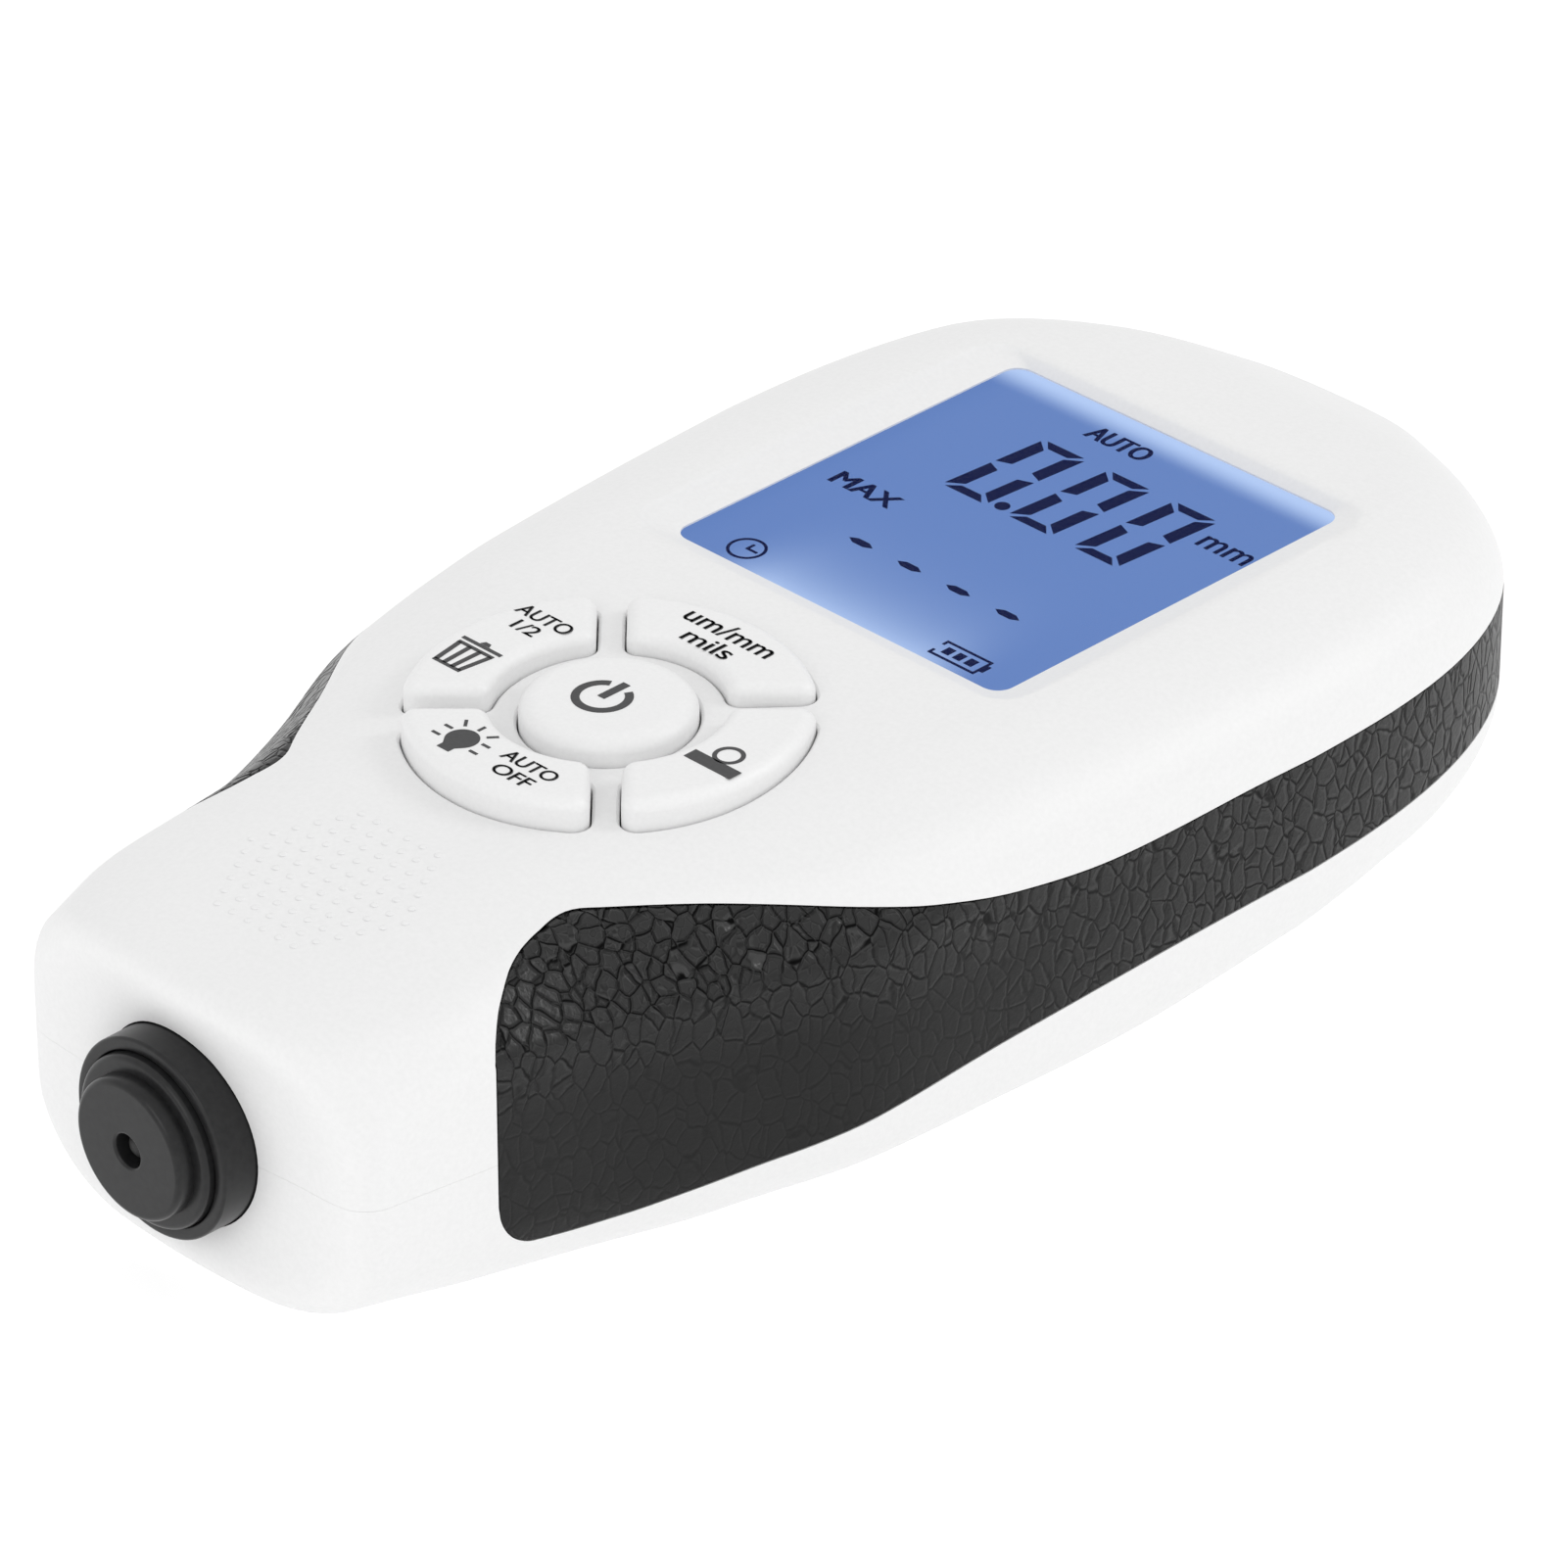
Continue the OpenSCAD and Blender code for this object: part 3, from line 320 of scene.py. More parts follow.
GRIP_BOTTOM = [(0.106, 8.2), (0.1072, 7.09), (0.1106, 6.05), (0.116, 5.16), (0.123, 4.48), (0.1312, 4.05),
               (0.17, 3.5), (0.21, 3.6), (0.287, 5.1), (0.366, 7.1), (0.418, 8), (0.574, 9.7), (0.73, 10.7),
               (0.852, 11.6), (1, 12.6)]
print("the housing is", BODY_L, "x", BODY_W, "x", BODY_H, "mm")

# %% Smooth lines
def curve(points, u):
    """Height of the smooth line through the points at u."""
    if u <= points[0][0]:
        return points[0][1]
    if u >= points[-1][0]:
        return points[-1][1]
    i = max(k for k in range(len(points) - 1) if u >= points[k][0])

    def rise(k):
        a, b = points[max(k - 1, 0)], points[min(k + 1, len(points) - 1)]
        return (b[1] - a[1]) / (b[0] - a[0])

    h = points[i + 1][0] - points[i][0]
    t = (u - points[i][0]) / h
    return ((2 * t**3 - 3 * t**2 + 1) * points[i][1] + (t**3 - 2 * t**2 + t) * h * rise(i)
            + (3 * t**2 - 2 * t**3) * points[i + 1][1] + (t**3 - t**2) * h * rise(i + 1))


def mix(a, b, t):
    return a + (b - a) * t


def steps(a, b, count):
    return [mix(a, b, i / count) for i in range(count + 1)]


def soft_step(t):
    t = min(1, max(0, t))
    return t * t * (3 - 2 * t)


print("the top falls", round(curve(TOP_FALL, 0.05), 2), "mm near the nose")

# %% [markdown]
# ## One cross-section
# Seen from the nose, half of the housing is a level top, a crown, a round shoulder, a slanting facet, a fold,
# an upright side, a rolled lower edge and a flat underside. The same function, drawn in by an inset, gives
# the inside of the shell, so the wall stays even.

# %% Cross-section of the housing at one place
LEAST_R, FULL_HALF_W, FACET_TILT = 0.6, 16, 45


def half_width(y, inset):
    if y > WIDE_Y:
        share = (y - WIDE_Y) / (TAIL_Y - inset - WIDE_Y)
        return (BODY_W / 2 - inset) * max(0, 1 - share**TAIL_POWER) ** (1 / TAIL_POWER)
    if y < NECK_Y:
        return mix(NOSE_W, NECK_W, (y - NOSE_Y) / (NECK_Y - NOSE_Y)) / 2 - inset
    return mix(NECK_W, BODY_W, curve(FLARE, (y - NECK_Y) / (WIDE_Y - NECK_Y))) / 2 - inset


def floor_z(y):
    return max(0, curve(FLOOR_RISE, (y - NOSE_Y) / BODY_L))


def top_z(y):
    return BODY_H - max(0, curve(TOP_FALL, (y - NOSE_Y) / BODY_L))


def bend(x, z, radius, start, end):
    """A round corner from one slope to another, without its first point."""
    return [(x + radius * (math.sin(t) - math.sin(start)), z - radius * (math.cos(start) - math.cos(t)))
            for t in steps(start, end, 6)[1:]]


def half_section(y, inset):
    """Points from the middle of the top round to the middle of the underside."""
    u = (y - NOSE_Y) / BODY_L
    lip_r = max(LIP_R - inset, LEAST_R)
    near = min(1, max(0, (NOSE_Y + inset + lip_r - y) / lip_r))
    lip = lip_r * (1 - math.sqrt(1 - near * near))
    w = half_width(y, inset) - lip
    top, bottom = top_z(y) - inset - lip, floor_z(y) + inset + lip
    s = min(1, w / FULL_HALF_W)
    a, c = math.radians(curve(EDGE_SLOPE, u)), math.radians(FACET_TILT)
    r1 = max(curve(SHOULDER, u) - inset - lip / 2, LEAST_R) * s
    r2 = max(curve(FOLD, u) - inset - lip / 2, LEAST_R) * s
    facet = curve(FACET, u) * s
    x3 = w - r2 * (1 - math.sin(c))
    x2 = x3 - facet * math.cos(c)
    x1 = x2 - r1 * (math.sin(c) - math.sin(a))
    xf = min(curve(LEVEL, u), 0.8 * x1)
    crown = math.tan(a) / (2 * (x1 - xf))
    z1 = top - crown * (x1 - xf) ** 2
    z2 = z1 - r1 * (math.cos(a) - math.cos(c))
    z3 = z2 - facet * math.sin(c)
    z4 = z3 - r2 * math.cos(c)
    roll_h = min(max(curve(ROLL_H, u) - inset, LEAST_R), 0.45 * (z4 - bottom))
    roll_w = min(max(curve(ROLL_W, u) - inset, LEAST_R) * s, 0.85 * w)
    return (
        [(x, top) for x in steps(0, xf, 5)]
        + [(x, top - crown * (x - xf) ** 2) for x in steps(xf, x1, 6)[1:]]
        + bend(x1, z1, r1, a, c)
        + [(mix(x2, x3, t), mix(z2, z3, t)) for t in steps(0, 1, 3)[1:]]
        + bend(x3, z3, r2, c, math.pi / 2)
        + [(w, z) for z in steps(z4, bottom + roll_h, 3)[1:]]
        + [(w - roll_w + roll_w * math.cos(t), bottom + roll_h - roll_h * math.sin(t))
           for t in steps(0, math.pi / 2, 12)[1:]]
        + [(x, bottom) for x in steps(w - roll_w, 0, 4)[1:]]
    )


print("points in half a section", len(half_section(0, 0)))

# %% [markdown]
# ## Wrapping a sheet round the sections
# A flat grid is rolled into the housing: its rows are the places along the length and its columns run
# round each cross-section. The first and last rows close to a point, and the seam is merged. A grid keeps
# its faces in tidy rows, which gives smooth shading.

# %% The smooth skin
BOW_RUN, TAIL_STOP, MERGE = 14, 89, 1e-4
NOSE_SHARES, DISH_RIM = (0.3, 0.66, 0.76, 0.86, 0.94), 0.34


def nose_bow(x, y, inset):
    return NOSE_BOW * (2 * x / NOSE_W) ** 2 * (1 - soft_step((y - NOSE_Y - inset) / BOW_RUN))


def full_ring(y, inset):
    half = half_section(y, inset)
    return half + [(-x, z) for x, z in half[-2:0:-1]]


def new_object(bm, name):
    mesh = bpy.data.meshes.new(name)
    bm.to_mesh(mesh)
    bm.free()
    made = bpy.data.objects.new(name, mesh)
    bpy.context.scene.collection.objects.link(made)
    return made


def nose_rows(start, inset, first):
    """Rows from the middle of the dished nose out to its first cross-section."""
    rows = [[(0, start + DISH, SEAM_Z)] * len(first)]
    for share in NOSE_SHARES:
        deep = DISH * soft_step((1 - share) / DISH_RIM)
        rows.append([(x * share, start + deep + nose_bow(x * share, start, inset), mix(SEAM_Z, z, share))
                     for x, z in first])
    return rows


def skin(inset, lips=8, mids=72, tails=34):
    start, lip_r, run = NOSE_Y + inset, max(LIP_R - inset, LEAST_R), TAIL_Y - inset - WIDE_Y
    places = [start + lip_r * (1 - math.cos(math.radians(90 * i / lips))) for i in range(lips + 1)]
    places += steps(start + lip_r, WIDE_Y, mids)[1:]
    places += [WIDE_Y + run * math.sin(math.radians(TAIL_STOP * i / tails)) for i in range(1, tails + 1)]
    first = full_ring(places[0], inset)
    rows = nose_rows(start, inset, first)
    rows += [[(x, y + nose_bow(x, y, inset), z) for x, z in full_ring(y, inset)] for y in places]
    rows.append([(0, places[-1], (BODY_H + SEAM_Z) / 2 - inset)] * len(first))
    bm = bmesh.new()
    across, down = len(first), len(rows) - 1
    bmesh.ops.create_grid(bm, x_segments=down, y_segments=across, size=1)
    for vert in bm.verts:
        row = round((vert.co.x + 1) / 2 * down)
        column = round((vert.co.y + 1) / 2 * across) % across
        vert.co = rows[row][column]
    bmesh.ops.remove_doubles(bm, verts=bm.verts, dist=MERGE)
    bmesh.ops.recalc_face_normals(bm, faces=bm.faces)
    return new_object(bm, "skin")


print("the skin goes round in", len(full_ring(0, 0)), "columns")

# %% [markdown]
# ## Cutting and finishing
# A moulded shell gets its openings from cores in the mould. Here a tool of the opening's shape is cut away
# from the skin with a Boolean, which leaves closed, solid pieces. A finished piece is turned into metres,
# shaded smooth, given its finish and handed to the body that it moves with.

# %% Carve and finish
def carve(target, tool, operation="DIFFERENCE", keep=False):
    """Cuts the target with a tool, which is thrown away unless it is kept."""
    cut = target.modifiers.new("carve", "BOOLEAN")
    cut.operation, cut.solver, cut.object = operation, "MANIFOLD", tool
    shaped = target.evaluated_get(bpy.context.evaluated_depsgraph_get())
    mesh = bpy.data.meshes.new_from_object(shaped)
    target.modifiers.clear()
    target.data = mesh
    if not keep:
        bpy.data.objects.remove(tool)
    return target


def finish_piece(made, name, body, finish, replaces=(), sharp=32):
    """Turns millimetres into metres, smooths the shading and hands the piece to its body."""
    made.name = made.data.name = name
    made.data.transform(Matrix.Scale(MM, 4))
    made.data.shade_smooth()
    made.data.set_sharp_from_angle(angle=math.radians(sharp))
    made.modifiers.new("even", "WEIGHTED_NORMAL").keep_sharp = True
    made.data = bpy.data.meshes.new_from_object(made.evaluated_get(bpy.context.evaluated_depsgraph_get()))
    made.modifiers.clear()
    made.data.name = name
    made.data.materials.clear()
    made.data.materials.append(finish)
    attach(made, body)
    for node in replaces:
        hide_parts(node)
    print(name, len(made.data.polygons), "faces")
    return made


print("carving tools ready")

# %% Tools that cut the housing
def block(x0, x1, y0, y1, z0, z1):
    bm = bmesh.new()
    bmesh.ops.create_cube(bm, size=1)
    bmesh.ops.scale(bm, verts=bm.verts, vec=(x1 - x0, y1 - y0, z1 - z0))
    bmesh.ops.translate(bm, verts=bm.verts, vec=((x0 + x1) / 2, (y0 + y1) / 2, (z0 + z1) / 2))
    return new_object(bm, "block")


def drum(radius, low, high, centre, along="Z", sides=72):
    bm = bmesh.new()
    bmesh.ops.create_cone(bm, cap_ends=True, segments=sides, radius1=radius, radius2=radius, depth=high - low)
    bmesh.ops.translate(bm, verts=bm.verts, vec=(0, 0, (low + high) / 2))
    if along == "Y":
        bmesh.ops.rotate(bm, verts=bm.verts, matrix=Matrix.Rotation(math.radians(-90), 3, "X"))
    bmesh.ops.translate(bm, verts=bm.verts, vec=centre)
    return new_object(bm, "drum")


def prism(bm, points, vec):
    """A flat outline drawn out into a solid."""
    face = bm.faces.new([bm.verts.new(p) for p in points])
    drawn = bmesh.ops.extrude_face_region(bm, geom=[face])["geom"]
    bmesh.ops.translate(bm, verts=[g for g in drawn if isinstance(g, bmesh.types.BMVert)], vec=vec)
    bmesh.ops.recalc_face_normals(bm, faces=bm.faces)
    return bm


def side_prism(outline, half_x=60):
    """A closed outline in the side view, drawn out across the width."""
    points = [(-half_x, y, z) for y, z in outline]
    return new_object(prism(bmesh.new(), points, (2 * half_x, 0, 0)), "side_prism")


print("blocks, drums and prisms ready")

# %% [markdown]
# ## Outlines and lofts
# Plates, keys and soft rims are outlines of arcs, stacked and joined. Bridging loops would pick its own pairs
# of points and can twist between unlike outlines, so the loft joins them point to point.

# %% Outlines and lofts
GRIP_END = 1.1


def arc(centre, radius, start, end, count):
    return [(centre[0] + radius * math.cos(math.radians(t)), centre[1] + radius * math.sin(math.radians(t)))
            for t in steps(start, end, count)]


def grip_prism(gap, samples=150):
    """The grip's outline in the side view, drawn in by a gap; its places lie closest at the front corners."""
    places = [mix(GRIP_TOP[0][0], GRIP_END, (i / samples) ** 2) for i in range(samples + 1)]

    def line(points, shift):
        front = places[0] * BODY_L + gap
        return [(NOSE_Y + max(u * BODY_L, front), curve(points, u) + shift) for u in places]

    return side_prism(line(GRIP_TOP, -gap) + line(GRIP_BOTTOM, gap)[::-1])


def plate_outline(w, l, r, y, x=0.0):
    """A rectangle with round corners about the point (x, y)."""
    side, end = w / 2 - r, l / 2 - r
    return (arc((x + side, y + end), r, 0, 90, 8) + arc((x - side, y + end), r, 90, 180, 8)
            + arc((x - side, y - end), r, 180, 270, 8) + arc((x + side, y - end), r, 270, 360, 8))


def at(outline, z):
    return [(x, y, z) for x, y in outline]


def loft(loops):
    """A closed solid through loops of points that match one to one."""
    bm = bmesh.new()
    rings = [[bm.verts.new(p) for p in loop] for loop in loops]
    for low, high in zip(rings, rings[1:]):
        for i in range(len(low)):
            bm.faces.new((low[i - 1], low[i], high[i], high[i - 1]))
    bm.faces.new(rings[0])
    bm.faces.new(rings[-1])
    bmesh.ops.recalc_face_normals(bm, faces=bm.faces)
    return new_object(bm, "loft")


print("a plate's outline has", len(plate_outline(10, 10, 1, 0)), "points")

# %% [markdown]
# ## Display recess and key openings
# On the real gauge the display lies in a recess with a sloping, soft-edged bezel, and the key openings have
# small rounded lips. Bevelling a cut edge on a curved face often fails, so the cutters flare out near the
# face instead, and the cut leaves these edges by itself.

# %% Sizes of the recess and the key ring
RIM_W, RIM_L, RIM_R = 39.0, 40.2, 2.5
RIM_Y = TAIL_Y - 18 - RIM_L / 2
WINDOW_W, WINDOW_L, WINDOW_R, WINDOW_LAP = RIM_W - 4.4, RIM_L - 1.8, 1.5, 1.5
OPENING_IN_X, OPENING_IN_Y = 0.6, 0.9
BEZEL_Z, WINDOW_Z, PANEL_Z, LIP_T = BODY_H - 0.9, BODY_H - 1.4, BODY_H - 2.0, 0.15
RING_Y = NOSE_Y + 42.9
RING_R, RING_IN_R, POWER_HOLE_R, KEY_WEB, KEY_R = 15.3, 8.7, 6.7, 2.0, 1.3
KEY_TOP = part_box("power_key")[1].z / MM
SOFT_RIM = [(-0.3, -0.28), (0.0, -0.12), (0.4, 0.0), (1.6, 0.6)]
SOFT_LIP = [(0, -0.35), (0.02, -0.23), (0.07, -0.13), (0.15, -0.06), (0.67, 0.3)]
UNDER_Z, OVER_Z, KEY_UNDER_Z = 15, 40, 20
print("key tops stand at", round(KEY_TOP, 2), "mm")

# %% Cutters for the display and the keys
def face_z(x, y):
    """Height of the housing's upper face."""
    section = half_section(y, 0)
    (x0, z0), (x1, z1) = next((a, b) for a, b in zip(section, section[1:]) if a[0] <= abs(x) <= b[0])
    return mix(z0, z1, (abs(x) - x0) / (x1 - x0))


def display_cutter():
    opening = plate_outline(WINDOW_W - OPENING_IN_X, WINDOW_L - OPENING_IN_Y, WINDOW_R,
                            RIM_Y + OPENING_IN_Y / 2, OPENING_IN_X / 2)
    soft = [at(plate_outline(RIM_W + 2 * grow, RIM_L + 2 * grow, RIM_R + grow, RIM_Y), BODY_H + lift)
            for grow, lift in SOFT_RIM]
    return loft([at(opening, UNDER_Z), at(opening, BEZEL_Z)] + soft)


def window_outline(gap):
    return plate_outline(WINDOW_W + 2 * (WINDOW_LAP + gap), WINDOW_L + 2 * (WINDOW_LAP + gap), 1, RIM_Y)


def key_outline(turn, grow):
    """A quarter of the key ring between two webs, with round corners, grown outwards."""
    inner, outer, corner = RING_IN_R - grow, RING_R + grow, KEY_R + grow
    h = KEY_WEB / 2 - grow + corner
    far, near = math.sqrt((outer - corner) ** 2 - h * h), math.sqrt((inner + corner) ** 2 - h * h)
    a, b = math.degrees(math.atan2(h, far)), math.degrees(math.atan2(h, near))
    outline = (arc((far, h), corner, -90, a, 8) + arc((0, 0), outer, a, 90 - a, 30)[1:-1]
               + arc((h, far), corner, 90 - a, 180, 8) + arc((h, near), corner, 180, 270 - b, 8)
               + arc((0, 0), inner, 90 - b, b, 16)[1:-1] + arc((near, h), corner, 180 + b, 270, 8))
    turned = Matrix.Rotation(math.radians(turn - 45), 2)
    return [tuple(turned @ Vector(p) + Vector((0, RING_Y))) for p in outline]


def power_outline(grow):
    return arc((0, RING_Y), POWER_HOLE_R + grow, 0, 360, 96)[:-1]


def key_cutter(outline):
    lips = [[(x, y, face_z(x, y) + lift) for x, y in outline(grow)] for grow, lift in SOFT_LIP]
    return loft([at(outline(0), KEY_UNDER_Z)] + lips + [at(outline(SOFT_LIP[-1][0]), OVER_Z)])


print("a key's outline has", len(key_outline(0, 0)), "points")

# %% [markdown]
# ## Front cover
# The upper half of the moulded shell: the skin, hollowed by a smaller skin, cut at the seam and opened for
# the display, the keys and the probe. It could be a single surface with thickness added, but cutting one
# closed skin from another also gives the right inside. The screw bosses keep the solid model's places.

# %% Carve the front cover
COLLAR_R, COLLAR_BODY_R, COLLAR_GAP, COLLAR_BODY_GAP = 7.8, 9.0, 0.12, 0.15
SHOULDER_Y, COLLAR_BACK_Y = NOSE_Y + 3.0, NOSE_Y + 13.0
GRIP_T, SEAM_GAP, WINDOW_GAP = 0.9, 0.008, 0.2
KEY_TURNS = {"units": 90, "delete": 180, "light": 270, "zero": 0}
NOSE_SCREW_Y, TAIL_SCREW_Y = NOSE_Y + 20.8, TAIL_Y - 8.6
CASE_SCREWS = [(-10, NOSE_SCREW_Y), (10, NOSE_SCREW_Y), (-11, TAIL_SCREW_Y), (11, TAIL_SCREW_Y)]
BOSS_R, BOSS_TOP, PILOT_R, PILOT_TOP = 3.0, 23, 1.3, 17.5
FAR_X, FAR_Y, FAR_Z = 60, 90, 60
ROUGH_SKIN = (3, 24, 14)


def hollow_shell():
    shell = skin(0)
    carve(shell, skin(WALL, *ROUGH_SKIN))
    recess = carve(grip_prism(0), skin(GRIP_T))
    return carve(shell, recess)


def open_for_probe(cover):
    axis = (0, 0, SEAM_Z)
    carve(cover, drum(COLLAR_R + COLLAR_GAP, NOSE_Y - 4, SHOULDER_Y, axis, "Y"))
    return carve(cover, drum(COLLAR_BODY_R + COLLAR_BODY_GAP, SHOULDER_Y - 0.01, COLLAR_BACK_Y + 0.2, axis, "Y"))


front = hollow_shell()
carve(front, block(-FAR_X, FAR_X, -FAR_Y, FAR_Y, SEAM_Z + SEAM_GAP, FAR_Z), "INTERSECT")
carve(front, display_cutter())
window_seat = window_outline(WINDOW_GAP)
carve(front, loft([at(window_seat, UNDER_Z), at(window_seat, BEZEL_Z - LIP_T)]))
carve(front, key_cutter(power_outline))
for turn in KEY_TURNS.values():
    carve(front, key_cutter(lambda grow: key_outline(turn, grow)))
open_for_probe(front)
for x, y in CASE_SCREWS:
    boss = drum(BOSS_R, SEAM_Z + SEAM_GAP, BOSS_TOP, (x, y, 0), sides=32)
    carve(boss, drum(PILOT_R, 0, PILOT_TOP, (x, y, 0), sides=24))
    carve(front, boss, "UNION")
finish_piece(front, "front_shell", "housing", housing_white, ["front_cover"])

# %% [markdown]
# ## Rear cover
# The lower half of the shell has the battery bay, the door's seat with two slots, a thumb scoop and deep
# holes for the case screws. Walls are joined to the shell first and hollows are cut after, so that no wall
# is left standing in a hollow.

# %% Sizes of the battery bay and its door
CELL_D, CELL_L, SPRING_L, CONTACTS_T, CONTACT_ROOM = 10.5, 44.5, 3.6, 0.8, 0.1
BAY_Y1 = TAIL_Y - 17.7
BAY_Y0 = BAY_Y1 - CELL_L - SPRING_L - CONTACTS_T - CONTACT_ROOM
BAY_W, BAY_TOP, BAY_WALL = 2 * CELL_D + 1.2, 14.85, 1.3
DOOR_W, DOOR_T, DOOR_GAP, DOOR_R, DOOR_LAP = BAY_W + 4, 1.4, 0.25, 2.0, 1.3
DOOR_Y0, DOOR_Y1 = BAY_Y0 - DOOR_LAP, BAY_Y1 + DOOR_LAP
DOOR_MID = (DOOR_Y0 + DOOR_Y1) / 2
SEAT_RIM, SEAT_TOP = 3.4, 5
TAB_X, TAB_HALF_W, TAB_L, TAB_T, TAB_BASE = 7, 2.5, 2.2, 1.2, 1.2
TAB_Z, SLOT_LOW, SLOT_TOP = 1.85, 1.6, 4.45
SCOOP_R, SCOOP_DEPTH, SCOOP_OFF = 9, 1.1, 2
REAR_BOSS_R, SHANK_HOLE_R, SHANK_HOLE_TOP, HEAD_HOLE_R, HEAD_HOLE_TOP = 3.6, 1.6, 14, 2.8, 9
BELOW_Z = -2


def floor_layer(low, high):
    """A layer that follows the underside between two heights above it."""
    places = steps(DOOR_Y0 - 3, DOOR_Y1 + 6, 60)
    lower = [(y, floor_z(y) + low) for y in places]
    return side_prism(lower + [(y, floor_z(y) + high) for y in places[::-1]], 30)


def door_plate(gap):
    outline = plate_outline(DOOR_W + 2 * gap, DOOR_Y1 - DOOR_Y0 + 2 * gap, DOOR_R + gap, DOOR_MID)
    return loft([at(outline, BELOW_Z), at(outline, 10)])


def bay_block(grow, low, high):
    return block(-BAY_W / 2 - grow, BAY_W / 2 + grow, BAY_Y0 - grow, BAY_Y1 + grow, low, high)


print("battery bay", round(BAY_Y1 - BAY_Y0, 1), "mm long")

# %% Carve the rear cover
rear = hollow_shell()
carve(rear, block(-FAR_X, FAR_X, -FAR_Y, FAR_Y, -FAR_Z, SEAM_Z - SEAM_GAP), "INTERSECT")
inside = skin(WALL / 2, *ROUGH_SKIN)
carve(rear, carve(bay_block(BAY_WALL, 0, BAY_TOP + BAY_WALL), inside, "INTERSECT", keep=True), "UNION")
carve(rear, carve(bay_block(SEAT_RIM, 0, SEAT_TOP), inside, "INTERSECT", keep=True), "UNION")
for x, y in CASE_SCREWS:
    boss = drum(REAR_BOSS_R, 0, SEAM_Z - SEAM_GAP, (x, y, 0), sides=32)
    carve(rear, carve(boss, inside, "INTERSECT", keep=True), "UNION")
bpy.data.objects.remove(inside)
carve(rear, bay_block(0, BELOW_Z, BAY_TOP))
carve(rear, carve(door_plate(DOOR_GAP), floor_layer(-1, DOOR_T + DOOR_GAP), "INTERSECT"))
for x in (-TAB_X, TAB_X):
    half = TAB_HALF_W + DOOR_GAP
    carve(rear, block(x - half, x + half, DOOR_Y0 - TAB_L - DOOR_GAP, BAY_Y0 + DOOR_GAP, SLOT_LOW, SLOT_TOP))
bm = bmesh.new()
bmesh.ops.create_uvsphere(bm, u_segments=64, v_segments=48, radius=SCOOP_R)
scoop_y = DOOR_Y1 + SCOOP_OFF
bmesh.ops.translate(bm, verts=bm.verts, vec=(0, scoop_y, floor_z(scoop_y) + SCOOP_DEPTH - SCOOP_R))
carve(rear, new_object(bm, "scoop"))
open_for_probe(rear)
for x, y in CASE_SCREWS:
    carve(rear, drum(SHANK_HOLE_R, BELOW_Z, SHANK_HOLE_TOP, (x, y, 0), sides=24))
    carve(rear, drum(HEAD_HOLE_R, BELOW_Z, HEAD_HOLE_TOP, (x, y, 0), sides=40))
finish_piece(rear, "rear_shell", "housing", housing_white, ["rear_cover"])

# %% [markdown]
# ## Battery door
# The door is a slice of the underside that hooks into the rear cover by two tabs. It is cut from the same
# layer as its seat, so the two follow one curve with an even gap.

# %% Make the battery door
door = carve(floor_layer(0, DOOR_T), door_plate(0), "INTERSECT")
tab_back_y, tab_top = DOOR_Y0 + DOOR_GAP + TAB_BASE, TAB_Z + TAB_T
for x in (-TAB_X, TAB_X):
    x0, x1 = x - TAB_HALF_W, x + TAB_HALF_W
    carve(door, block(x0, x1, DOOR_Y0 + DOOR_GAP, tab_back_y, DOOR_T / 2, tab_top), "UNION")
    carve(door, block(x0, x1, DOOR_Y0 - TAB_L, tab_back_y, TAB_Z, tab_top), "UNION")
finish_piece(door, "door_panel", "door", housing_white, ["battery_door"])

# %% [markdown]
# ## Grip band
# A strip of pressed leather-look material, let into the sides flush with the white shell. A strip could be
# bent to shape, but the layer of skin inside the side-view outline already follows the housing, and a thin
# gap round it shows where it was laid in.

# %% Cut the grip band
BAND_GAP, BAND_BED = 0.12, 0.05
band = carve(skin(0), grip_prism(BAND_GAP), "INTERSECT")
carve(band, skin(GRIP_T - BAND_BED))
finish_piece(band, "grip_wrap", "housing", grip_leather, ["grip_band"])

# %% [markdown]
# ## Keys
# The real keys are moulded caps with soft, rounded tops. A key is its opening's outline, drawn in by a thin
# gap, stood up, and rounded over at the top by ever smaller outlines. A bevel would do on a plain block, but
# these outlines have narrow corners where it would fold over.

# %% Key caps
KEY_GAP, KEY_FOOT_Z = 0.12, BODY_H - 4.1
QUARTER_ROUND, POWER_ROUND = (1.1, 0.95), (1.7, 1.2)


def key_cap(outline, round_in, round_down):
    rounded = [(round_in * (1 - math.cos(t)), KEY_TOP - round_down * (1 - math.sin(t)))
               for t in steps(0, math.pi / 2, 7)]
    foot = at(outline(-KEY_GAP), KEY_FOOT_Z)
    return loft([foot] + [at(outline(-KEY_GAP - inward), z) for inward, z in rounded])


for word, turn in KEY_TURNS.items():
    cap = key_cap(lambda grow: key_outline(turn, grow), *QUARTER_ROUND)
    finish_piece(cap, word + "_cap", word, key_white, [word + "_key"])
power_cap = key_cap(power_outline, *POWER_ROUND)
finish_piece(power_cap, "power_cap", "power", key_white, ["power_key"])

# %% [markdown]
# ## Printed legends
# The legends are printed on the keys. Here a legend is a very thin solid that lies on its key and rides with
# it, because a print in the finish would need a picture. The words are plain text fitted into a box, and the
# signs are drawn from bars, strokes and arcs. Places are in millimetres from the middle of the gauge.

# %% Tools for print
INK_T, LETTER_T = 0.03, 0.01


def patch(bm, outline, z):
    prism(bm, [(x, y, z) for x, y in outline], (0, 0, INK_T))


def bar(bm, x0, x1, y0, y1, z):
    patch(bm, [(x0, y0), (x1, y0), (x1, y1), (x0, y1)], z)


def stroke(bm, start, end, width, z):
    start, end = Vector(start), Vector(end)
    side = (end - start).normalized().orthogonal() * width / 2
    patch(bm, [tuple(p) for p in (start - side, end - side, end + side, start + side)], z)


